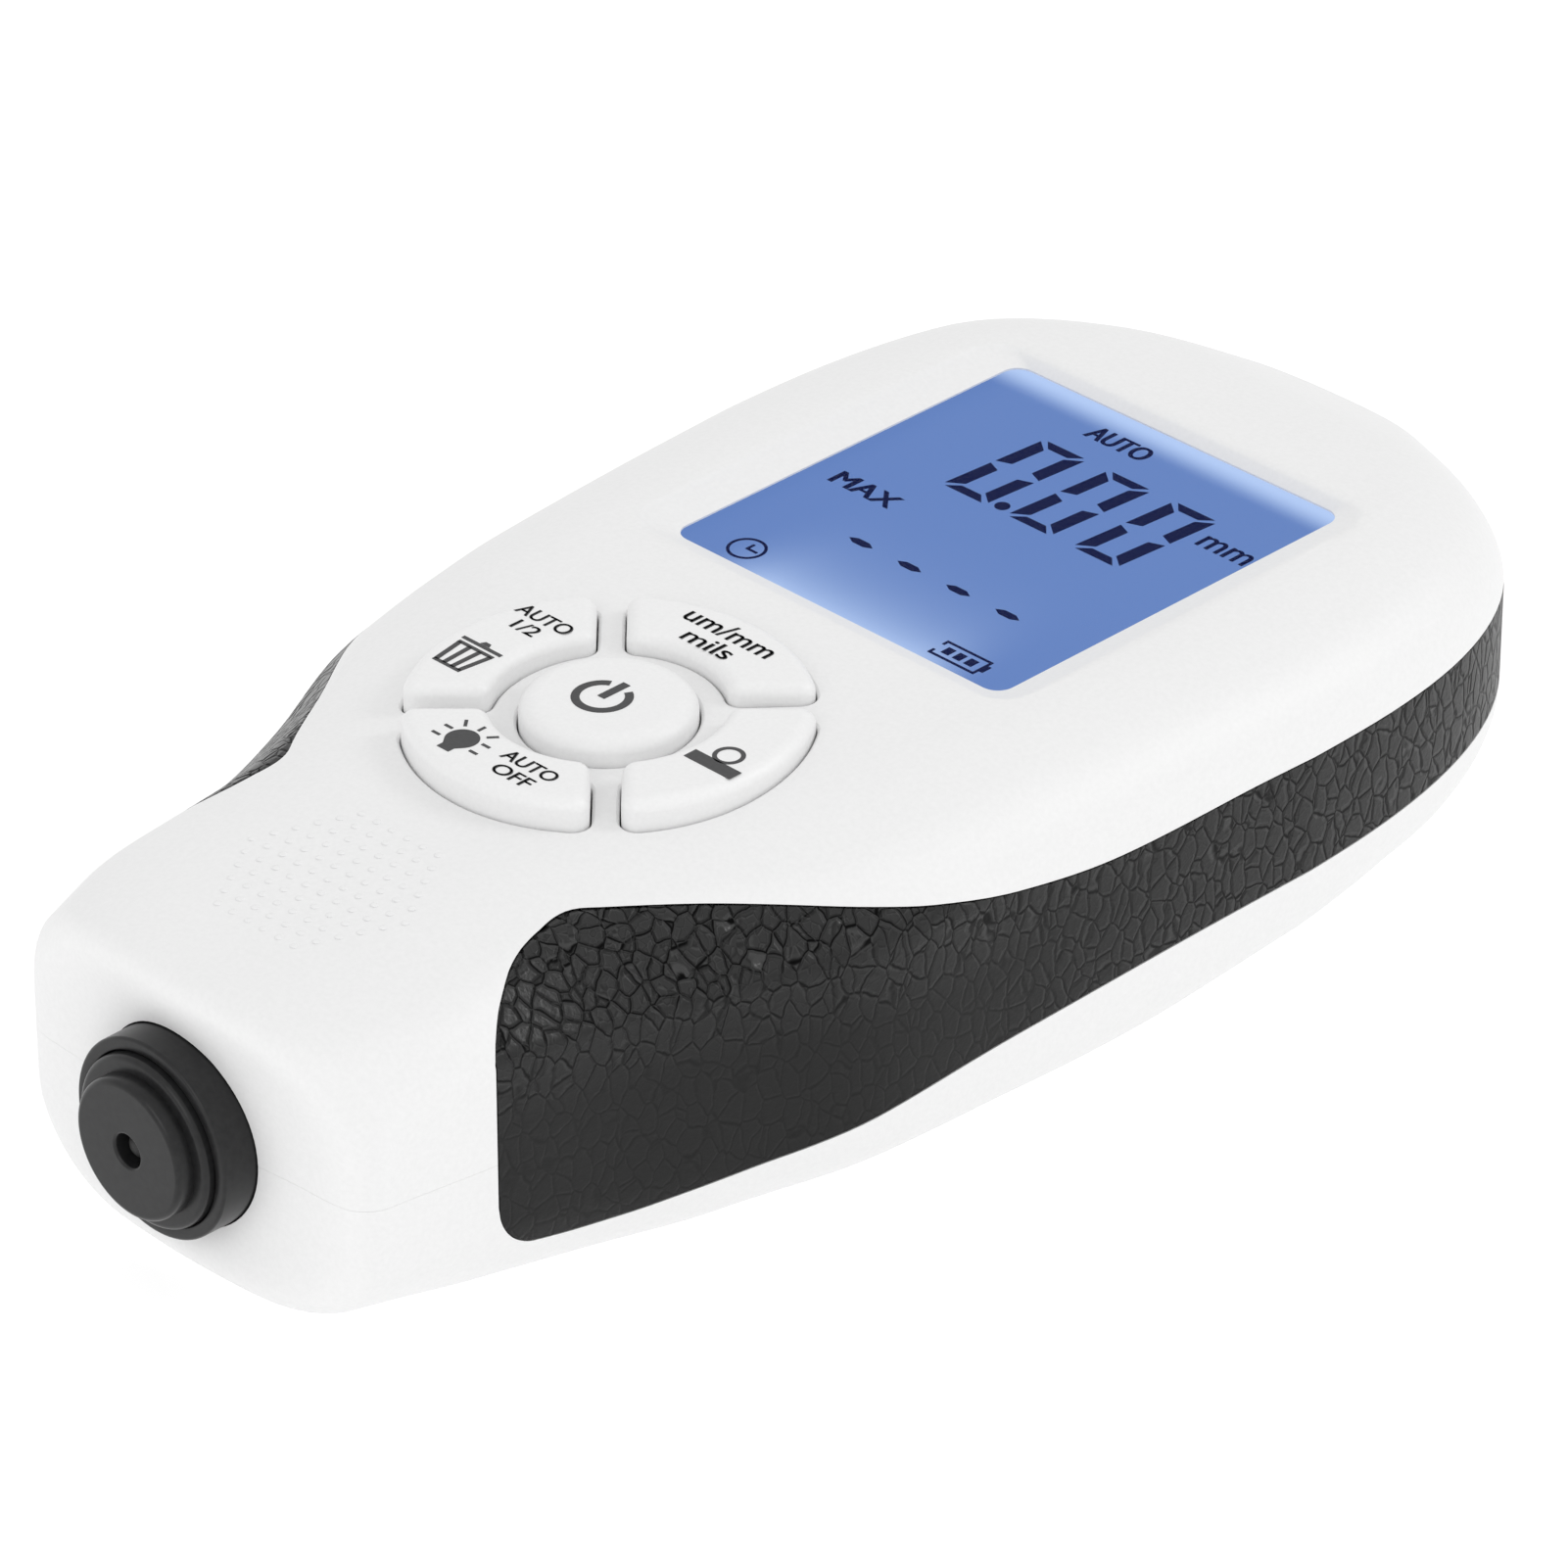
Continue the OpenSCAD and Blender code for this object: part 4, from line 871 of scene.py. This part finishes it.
def bow(bm, centre, outer, inner, start, end, z):
    patch(bm, arc(centre, outer, start, end, 32) + arc(centre, inner, end, start, 32), z)


def words(bm, text, x0, x1, y0, y1, z, bold=0.08):
    """Text that fills a box, printed twice with a small shift to thicken its uprights."""
    letters = bpy.data.curves.new("letters", "FONT")
    letters.body, letters.extrude = text, LETTER_T
    made = bpy.data.objects.new("letters", letters)
    bpy.context.scene.collection.objects.link(made)
    mesh = bpy.data.meshes.new_from_object(made.evaluated_get(bpy.context.evaluated_depsgraph_get()))
    bpy.data.objects.remove(made)
    low, high = [Vector([pick(v.co[k] for v in mesh.vertices) for k in range(3)]) for pick in (min, max)]
    size = high - low
    fit = Matrix.Diagonal(((x1 - x0 - bold) / size.x, (y1 - y0) / size.y, INK_T / size.z, 1))
    mesh.transform(Matrix.Translation((x0, y0, z)) @ fit @ Matrix.Translation(-low))
    bm.from_mesh(mesh)
    mesh.transform(Matrix.Translation((bold, 0, 0)))
    bm.from_mesh(mesh)


print("print is", INK_T, "mm thick")

# %% Signs of the power, units and zero keys
def power_sign(bm, z):
    bow(bm, (-0.2, -16.4), 2.3, 1.65, 118, 422, z)
    bar(bm, -0.56, 0.16, -16.55, -13.9, z)


def units_sign(bm, z):
    words(bm, "um/mm", -4.4, 4.3, -4.35, -2.45, z)
    words(bm, "mils", -2.4, 2.3, -6.55, -4.85, z)


def zero_sign(bm, z):
    bar(bm, 9.9, 14.55, -18.05, -16.8, z)
    for half in (0, 180):
        bow(bm, (12.2, -15.75), 1.22, 0.87, half, half + 180, z)


print("three signs drawn")

# %% Signs of the delete and light keys
BIN_RIBS = ((-13.2, -12.7), (-12.1, -11.9), (-11.05, -11.05), (-9.95, -10.3))
BULB, BULB_R, RAY_W = (-3.0, -27.65), 1.3, 0.26
RAYS = ((90, 1.55, 2.3), (50, 1.75, 2.65), (130, 1.75, 2.65))


def delete_sign(bm, z):
    words(bm, "AUTO", -13.8, -8.5, -12.35, -10.95, z)
    words(bm, "1/2", -12.4, -10.0, -14.2, -12.85, z)
    bar(bm, -13.6, -9.55, -17.8, -17.45, z)
    patch(bm, [(-12.0, -17.4), (-11.05, -17.4), (-11.25, -17.0), (-11.8, -17.0)], z)
    for top, bottom in BIN_RIBS:
        stroke(bm, (top, -18.3), (bottom, -21.2), 0.42, z)
    bar(bm, -13.42, -9.75, -18.42, -18.08, z)
    bar(bm, -12.9, -10.1, -21.4, -21.05, z)


def light_sign(bm, z):
    socket = [(-3.6, -29.0), (-3.6, -29.6), (-2.4, -29.6), (-2.4, -29.0)]
    patch(bm, arc(BULB, BULB_R, -35, 215, 30) + socket, z)
    for angle, near, far in RAYS:
        ray = Vector((math.cos(math.radians(angle)), math.sin(math.radians(angle))))
        stroke(bm, Vector(BULB) + near * ray, Vector(BULB) + far * ray, RAY_W, z)
    for side in (-1, 1):
        for y in (-27.15, -28.4):
            stroke(bm, (BULB[0] + side * 1.55, y), (BULB[0] + side * 2.35, y), RAY_W, z)
    words(bm, "AUTO", 0.6, 5.85, -27.45, -26.15, z)
    words(bm, "OFF", 1.4, 5.15, -29.25, -27.95, z)


print("two signs drawn")

# %% Print the legends
SIGNS = {"power": power_sign, "units": units_sign, "delete": delete_sign, "light": light_sign, "zero": zero_sign}
for word, draw in SIGNS.items():
    bm = bmesh.new()
    draw(bm, KEY_TOP)
    finish_piece(new_object(bm, "legend"), word + "_legend", word, legend_ink)

# %% [markdown]
# ## Display image
# A segment display shows dark shapes that are etched into its glass. Each nought is six slanted segments: an
# upright and a cap, mirrored. Drawing one of each and flipping it keeps all the digits alike.

# %% Draw the display image
DIGIT_W, DIGIT_H, DIGIT_SLANT, DIGIT_X, DIGIT_Y, DIGIT_PITCH = 4.64, 10.5, 0.073, -9.0, 27.86, 6.82
UPRIGHT = [(0.05, 10.15), (1.28, 9.25), (1.28, 6.0), (0.05, 5.5)]
CAP = [(0.42, 10.5), (4.22, 10.5), (3.34, 9.65), (1.3, 9.65)]
DASH_X, DASH_Y, DASH_PITCH = -8.1, 17.0, 5.09
CLOCK, CLOCK_R, CLOCK_IN_R = (-12.32, 10.32), 1.58, 1.32
BATTERY_BARS = ((7.95, 12.65, 10.92, 11.17), (7.95, 12.65, 8.92, 9.17), (12.4, 12.65, 9.17, 10.92),
                (12.65, 13.0, 9.55, 10.55), (7.95, 8.2, 9.17, 9.6), (7.95, 8.2, 10.5, 10.92),
                (8.7, 9.45, 9.57, 10.52), (9.85, 10.6, 9.57, 10.52), (11.0, 11.8, 9.57, 10.52))
HEAVY = 0.18


def nought(bm, x, y, z):
    def place(outline, flip_u, flip_v):
        flipped = [(DIGIT_W - u if flip_u else u, DIGIT_H - v if flip_v else v) for u, v in outline]
        return [(x + u + DIGIT_SLANT * v, y + v) for u, v in flipped]

    for flip_v in (False, True):
        patch(bm, place(CAP, False, flip_v), z)
        for flip_u in (False, True):
            patch(bm, place(UPRIGHT, flip_u, flip_v), z)


def dash(bm, x, z):
    low, high = 16.64, 17.37
    patch(bm, [(x, DASH_Y), (x + 0.65, low), (x + 1.8, low), (x + 2.45, DASH_Y), (x + 1.8, high),
               (x + 0.65, high)], z)


def display_image(bm, z):
    for i in range(3):
        nought(bm, DIGIT_X + i * DIGIT_PITCH, DIGIT_Y, z)
    patch(bm, arc((-3.27, 28.6), 0.62, 0, 345, 23), z)
    words(bm, "AUTO", -6.7, -0.6, 41.0, 43.0, z, bold=HEAVY)
    words(bm, "MAX", -15.55, -9.1, 22.1, 24.05, z, bold=HEAVY)
    words(bm, "mm", 10.9, 15.75, 34.65, 36.35, z)
    for i in range(4):
        dash(bm, DASH_X + i * DASH_PITCH, z)
    for half in (0, 180):
        bow(bm, CLOCK, CLOCK_R, CLOCK_IN_R, half, half + 180, z)
    bar(bm, -12.42, -12.17, 10.22, 11.12, z)
    bar(bm, -12.42, -11.27, 10.22, 10.47, z)
    for x0, x1, y0, y1 in BATTERY_BARS:
        bar(bm, x0, x1, y0, y1, z)


print("display image has", len(BATTERY_BARS), "battery bars")

# %% [markdown]
# ## Display panel and pane
# The panel lies close under the clear pane, as glass that is bonded to its window does, and the image lies
# on the panel. With the panel deep in the recess a white wall would show at its far edge.

# %% Build the display
PANEL_GAP, PANE_GAP = 0.1, 0.1
panel_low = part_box("lcd_glass")[0].z / MM
panel_outline, pane_outline = window_outline(PANEL_GAP), window_outline(0)
panel = loft([at(panel_outline, panel_low), at(panel_outline, PANEL_Z)])
finish_piece(panel, "lcd_panel", "housing", lcd_blue, ["lcd_glass"])
pane = loft([at(pane_outline, PANEL_Z + PANE_GAP), at(pane_outline, WINDOW_Z)])
finish_piece(pane, "window_pane", "housing", window_clear, ["display_window"])
bm = bmesh.new()
display_image(bm, PANEL_Z)
finish_piece(new_object(bm, "image"), "lcd_image", "housing", display_ink)

# %% [markdown]
# ## Thumb dots
# A round patch of low domes on the neck gives the thumb a hold. Relief in the finish would vanish at a
# slanting view, so each dome is a flattened ball that stands on the housing's own face.

# %% Place the thumb dots
DOTS_Y, DOTS_R, DOT_PITCH, DOT_R, DOT_RISE = -43.5, 8.0, 1.6, 0.34, 0.06
ROW_PITCH = math.sqrt(0.75)
flat_ball = Matrix.Diagonal((DOT_R, DOT_R, DOT_RISE, 1))
bm = bmesh.new()
reach = math.ceil(DOTS_R / DOT_PITCH) + 1
for row in range(-reach, reach + 1):
    for column in range(-reach, reach + 1):
        x, y = (column + row % 2 / 2) * DOT_PITCH, row * DOT_PITCH * ROW_PITCH
        if math.hypot(x, y) <= DOTS_R:
            place = Matrix.Translation((x, DOTS_Y + y, face_z(x, DOTS_Y + y))) @ flat_ball
            bmesh.ops.create_icosphere(bm, subdivisions=2, radius=1, matrix=place)
finish_piece(new_object(bm, "dots"), "thumb_dots", "housing", housing_white, sharp=60)

# %% [markdown]
# ## Probe
# The collar and the stepped measuring nose are turned parts. On a lathe they would be cut from a bar, and
# here a profile is spun round the probe axis. Its rims are then rounded with a bevel, as a turner would
# break them.

# %% Turn a part
RIM_SEGMENTS, ON_RIM_Y, ON_RIM_R = 4, 1e-3, 1e-2


def turned(profile, rounded, sides=96):
    """Spins (radius, y) points round the probe axis and rounds the rims listed as (radius, y, size)."""
    bm = bmesh.new()
    verts = [bm.verts.new((r, y, 0)) for r, y in profile]
    edges = [bm.edges.new((a, b)) for a, b in zip(verts, verts[1:] + verts[:1])]
    bmesh.ops.spin(bm, geom=verts + edges, axis=(0, 1, 0), cent=(0, 0, 0), angle=math.tau, steps=sides,
                   use_merge=True)
    bmesh.ops.remove_doubles(bm, verts=bm.verts, dist=MERGE)
    bmesh.ops.recalc_face_normals(bm, faces=bm.faces)

    def on_rim(vert, radius, y):
        return abs(vert.co.y - y) < ON_RIM_Y and abs(math.hypot(vert.co.x, vert.co.z) - radius) < ON_RIM_R

    for radius, y, size in rounded:
        rim = [e for e in bm.edges if all(on_rim(v, radius, y) for v in e.verts)]
        bmesh.ops.bevel(bm, geom=rim, offset=size, segments=RIM_SEGMENTS, profile=0.5, affect="EDGES",
                        material=-1)
    bmesh.ops.translate(bm, verts=bm.verts, vec=(0, 0, SEAM_Z))
    return bm


print("turned parts have 96 sides")

# %% Collar and measuring nose
COLLAR_Y = NOSE_Y - 2.1
COLLAR_IN_R, COLLAR_BORE_R = 6.8, 7.7
STOP_Y, STEP_Y = SHOULDER_Y + 0.8, COLLAR_Y - 0.8
collar = turned(
    [(COLLAR_IN_R, COLLAR_Y), (COLLAR_R, COLLAR_Y), (COLLAR_R, SHOULDER_Y), (COLLAR_BODY_R, SHOULDER_Y),
     (COLLAR_BODY_R, COLLAR_BACK_Y), (COLLAR_BORE_R, COLLAR_BACK_Y), (COLLAR_BORE_R, STOP_Y), (COLLAR_IN_R, STOP_Y)],
    [(COLLAR_R, COLLAR_Y, 0.25), (COLLAR_IN_R, COLLAR_Y, 0.12)])
finish_piece(new_object(collar, "collar"), "probe_ring", "housing", probe_black, ["probe_collar"])
PLUNGER_Y, FLANGE_Y = COLLAR_Y - 2.2, STOP_Y + 0.05
TIP_HOLE_R, FACE_R, STEP_R, FLANGE_R, STEM_R, STEM_IN_R = 1.3, 5.5, 6.72, 7.54, 4.4, 3.5
flange_back, stem_back, face_back = FLANGE_Y + 1.5, FLANGE_Y + 4.5, PLUNGER_Y + 2
plunger = turned(
    [(TIP_HOLE_R, PLUNGER_Y), (FACE_R, PLUNGER_Y), (FACE_R, STEP_Y), (STEP_R, STEP_Y), (STEP_R, FLANGE_Y),
     (FLANGE_R, FLANGE_Y), (FLANGE_R, flange_back), (STEM_R, flange_back), (STEM_R, stem_back),
     (STEM_IN_R, stem_back), (STEM_IN_R, face_back), (TIP_HOLE_R, face_back)],
    [(FACE_R, PLUNGER_Y, 0.5), (STEP_R, STEP_Y, 0.45), (TIP_HOLE_R, PLUNGER_Y, 0.25)])
finish_piece(new_object(plunger, "plunger"), "probe_nose", "plunger", probe_black, ["probe_plunger"])

# %% [markdown]
# ## Return spring
# A spring is wound wire. Here a small circle is spun round the probe axis while it climbs, which is how the
# wire is laid. The plunger presses it together; here its turns are spread evenly along the solid model's spring.

# %% Wind the spring
spring_low, spring_high = [v.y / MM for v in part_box("probe_spring")]
SPRING_R, WIRE_R, WIRE_SIDES, TURNS, TURN_STEPS, PRESS = 5.9, 0.4, 10, 4, 40, 2.0
bm = bmesh.new()
bmesh.ops.create_circle(bm, cap_ends=True, segments=WIRE_SIDES, radius=WIRE_R,
                        matrix=Matrix.Translation((SPRING_R, spring_low + WIRE_R, SEAM_Z)))
climb = (spring_high - spring_low - 2 * WIRE_R) / (TURNS * TURN_STEPS)
bmesh.ops.spin(bm, geom=bm.verts[:] + bm.edges[:] + bm.faces[:], axis=(0, 1, 0), cent=(0, 0, SEAM_Z),
               dvec=(0, climb, 0), angle=TURNS * math.tau, steps=TURNS * TURN_STEPS)
bmesh.ops.recalc_face_normals(bm, faces=bm.faces)
spring = finish_piece(new_object(bm, "spring"), "return_spring", "housing", steel, ["probe_spring"], sharp=60)
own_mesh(spring)

# %% [markdown]
# ## Case screws
# Four screws hold the covers together from the underside. Their threads lie hidden in the bosses, so a plain
# shank is enough, and only the head gets its cross recess.

# %% Make the case screws
HEAD_R, HEAD_LOW, HEAD_TOP, SHANK_R, SHANK_LOW, SHANK_TOP = 2.5, 6.2, 8, 1.2, 7.9, 17
CROSS_HALF_L, CROSS_HALF_W, CROSS_LOW, CROSS_TOP = 1.6, 0.35, 6, 7.2
screws = None
for x, y in CASE_SCREWS:
    screw = drum(HEAD_R, HEAD_LOW, HEAD_TOP, (x, y, 0), sides=40)
    carve(screw, drum(SHANK_R, SHANK_LOW, SHANK_TOP, (x, y, 0), sides=24), "UNION")
    for half_x, half_y in ((CROSS_HALF_L, CROSS_HALF_W), (CROSS_HALF_W, CROSS_HALF_L)):
        carve(screw, block(x - half_x, x + half_x, y - half_y, y + half_y, CROSS_LOW, CROSS_TOP))
    screws = carve(screws, screw, "UNION") if screws else screw
finish_piece(screws, "screw_set", "housing", steel, ["case_screws"])

# %% [markdown]
# ## Cells
# The two cells lie head to tail. A real cell is a steel can in a printed sleeve. Here a ramp along each one
# gives its bare ends, its dark wrap and the band at its positive end, so that the can stays one piece.

# %% Make the cells
NUB_R, NUB_L, NUB_SINK = 1.9, 1.0, 0.1
WRAP_START, BAND_START, BARE_START = 0.025, 0.74, 0.955
CELL_RAMPS = {"Base Color": (grey(0.6), (0.02, 0.02, 0.024), (0.55, 0.28, 0.08)),
              "Metallic": (grey(1.0), grey(0), grey(0.7))}


def make_cell_wrap(name, minus_y, plus_y):
    finish, tree, shader = new_finish(name, (0.03, 0.03, 0.04), 0.28)
    split = add_node(tree, "ShaderNodeSeparateXYZ", {"Vector": object_place(tree)})
    share = carry(tree, split.outputs["Y"], (minus_y * MM, plus_y * MM))
    for socket, (bare, wrap, ring) in CELL_RAMPS.items():
        ramp = add_node(tree, "ShaderNodeValToRGB", {"Fac": share})
        ramp.color_ramp.interpolation = "CONSTANT"
        for place, colour in ((WRAP_START, wrap), (BAND_START, ring), (BARE_START, bare)):
            ramp.color_ramp.elements.new(place).color = (*colour, 1)
        ramp.color_ramp.elements[0].color = (*bare, 1)
        tree.links.new(ramp.outputs["Color"], shader.inputs[socket])
    return finish


for word, plus_up in (("left", True), ("right", False)):
    low, high = [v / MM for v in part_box("battery_" + word)]
    axis, radius = ((low.x + high.x) / 2, 0, (low.z + high.z) / 2), (high.x - low.x) / 2
    if plus_up:
        can, nub, ends = (low.y, high.y - NUB_L), (high.y - NUB_L - NUB_SINK, high.y), (low.y, high.y)
    else:
        can, nub, ends = (low.y + NUB_L, high.y), (low.y, low.y + NUB_L + NUB_SINK), (high.y, low.y)
    cell = carve(drum(radius, *can, axis, "Y"), drum(NUB_R, *nub, axis, "Y", sides=32), "UNION")
    wrap = make_cell_wrap(word + "_cell_wrap", *ends)
    finish_piece(cell, word + "_cell", "housing", wrap, ["battery_" + word])

# %% [markdown]
# ## Finishes for the solids that stay
# The pieces inside are board, switches, contacts and the probe's coil. They are hidden in the closed gauge,
# so they keep their solid shapes and only get their own finish.

# %% Dress the inner pieces
INNER = {
    "lcd_frame": frame_white, "backlight": backlight_white, "contact_strip": strip_rubber,
    "main_board": board_green, "processor_chip": chip_black, "probe_coil": coil_copper,
    "probe_tip": chip_black, "probe_cap": probe_black, "bridge_contact": steel, "output_contacts": steel,
    "contact_springs": steel, "board_screws": steel, "power_switch": switch_black,
    "units_switch": switch_black, "delete_switch": switch_black, "light_switch": switch_black,
    "zero_switch": switch_black,
}
for node, finish in INNER.items():
    nodes[node].data.materials.clear()
    nodes[node].data.materials.append(finish)
print(len(INNER), "inner pieces dressed")

# %% [markdown]
# ## Stage
# A product photo is taken on a white sweep under a bright, even light. Here that is a plain white floor that
# also glows a little, which keeps its shadows faint, an even sky and two soft lights.

# %% Floor and sky
FLOOR_HALF, FLOOR_DROP = 3, 0.0001
bm = bmesh.new()
bmesh.ops.create_grid(bm, x_segments=1, y_segments=1, size=FLOOR_HALF,
                      matrix=Matrix.Translation((0, 0, -FLOOR_DROP)))
floor = new_object(bm, "floor")
floor_white, _, shader = new_finish("floor_white", grey(0.42), 0.9)
shader.inputs["Emission Color"].default_value = (1, 1, 1, 1)
shader.inputs["Emission Strength"].default_value = 0.69
floor.data.materials.append(floor_white)
floor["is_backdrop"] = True
world = bpy.data.worlds.new("studio")
bpy.context.scene.world = world
world.use_nodes = True
sky = world.node_tree.nodes["Background"]
sky.inputs["Color"].default_value = (1, 1, 1, 1)
sky.inputs["Strength"].default_value = 0.89
print("floor and sky set")

# %% Soft lights
LIT_SPOT = (0, 0, 0.01)


def soft_light(name, place, size, power):
    light = bpy.data.lights.new(name, "AREA")
    light.shape, light.size, light.energy = "DISK", size, power
    made = bpy.data.objects.new(name, light)
    made.location = place
    made.rotation_euler = (Vector(LIT_SPOT) - Vector(place)).to_track_quat("-Z", "Y").to_euler()
    bpy.context.scene.collection.objects.link(made)


soft_light("side_light", (0.42, 0.49, 0.49), 0.25, 0.9)
soft_light("front_light", (0.2, -0.65, 0.45), 0.5, 0.8)
bpy.context.scene.view_settings.view_transform = "Standard"
print("two soft lights set")

# %% [markdown]
# ## Camera
# The camera stands where the photograph was taken from: it looks over the probe's right side at the display.
# Its angles and distance were fitted to points of the gauge, which is surer than moving it by eye.

# %% Camera at the photograph's angle
azimuth, elevation = math.radians(45.077), math.radians(31.13)
SENSOR, FOCAL_PIXELS, PHOTO_PIXELS = 36, 9122, 1601
AIM, DISTANCE, SHIFT_RIGHT, SHIFT_DOWN = (0, 0.15, 28), 656.8, 1.29, 11.18
back = Vector((math.sin(azimuth) * math.cos(elevation), -math.cos(azimuth) * math.cos(elevation),
               math.sin(elevation)))
right = Vector((math.cos(azimuth), math.sin(azimuth), 0))
up = back.cross(right)
camera_data = bpy.data.cameras.new("camera")
camera_data.lens, camera_data.sensor_width = SENSOR * FOCAL_PIXELS / PHOTO_PIXELS, SENSOR
camera = bpy.data.objects.new("camera", camera_data)
stand = Vector(AIM) + DISTANCE * back + SHIFT_RIGHT * right - SHIFT_DOWN * up
camera.matrix_world = Matrix.Translation(stand * MM) @ Matrix((right, up, back)).transposed().to_4x4()
bpy.context.scene.collection.objects.link(camera)
bpy.context.scene.camera = camera
print("camera stands", round(DISTANCE), "mm away")

# %% [markdown]
# ## Sizes
# The dressed gauge must stay as large as the solid model. The box of the dressed pieces is printed at the end.

# %% Print the size of the dressed gauge
low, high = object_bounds()
print("visual box in mm", [round(v / MM, 2) for v in high - low])
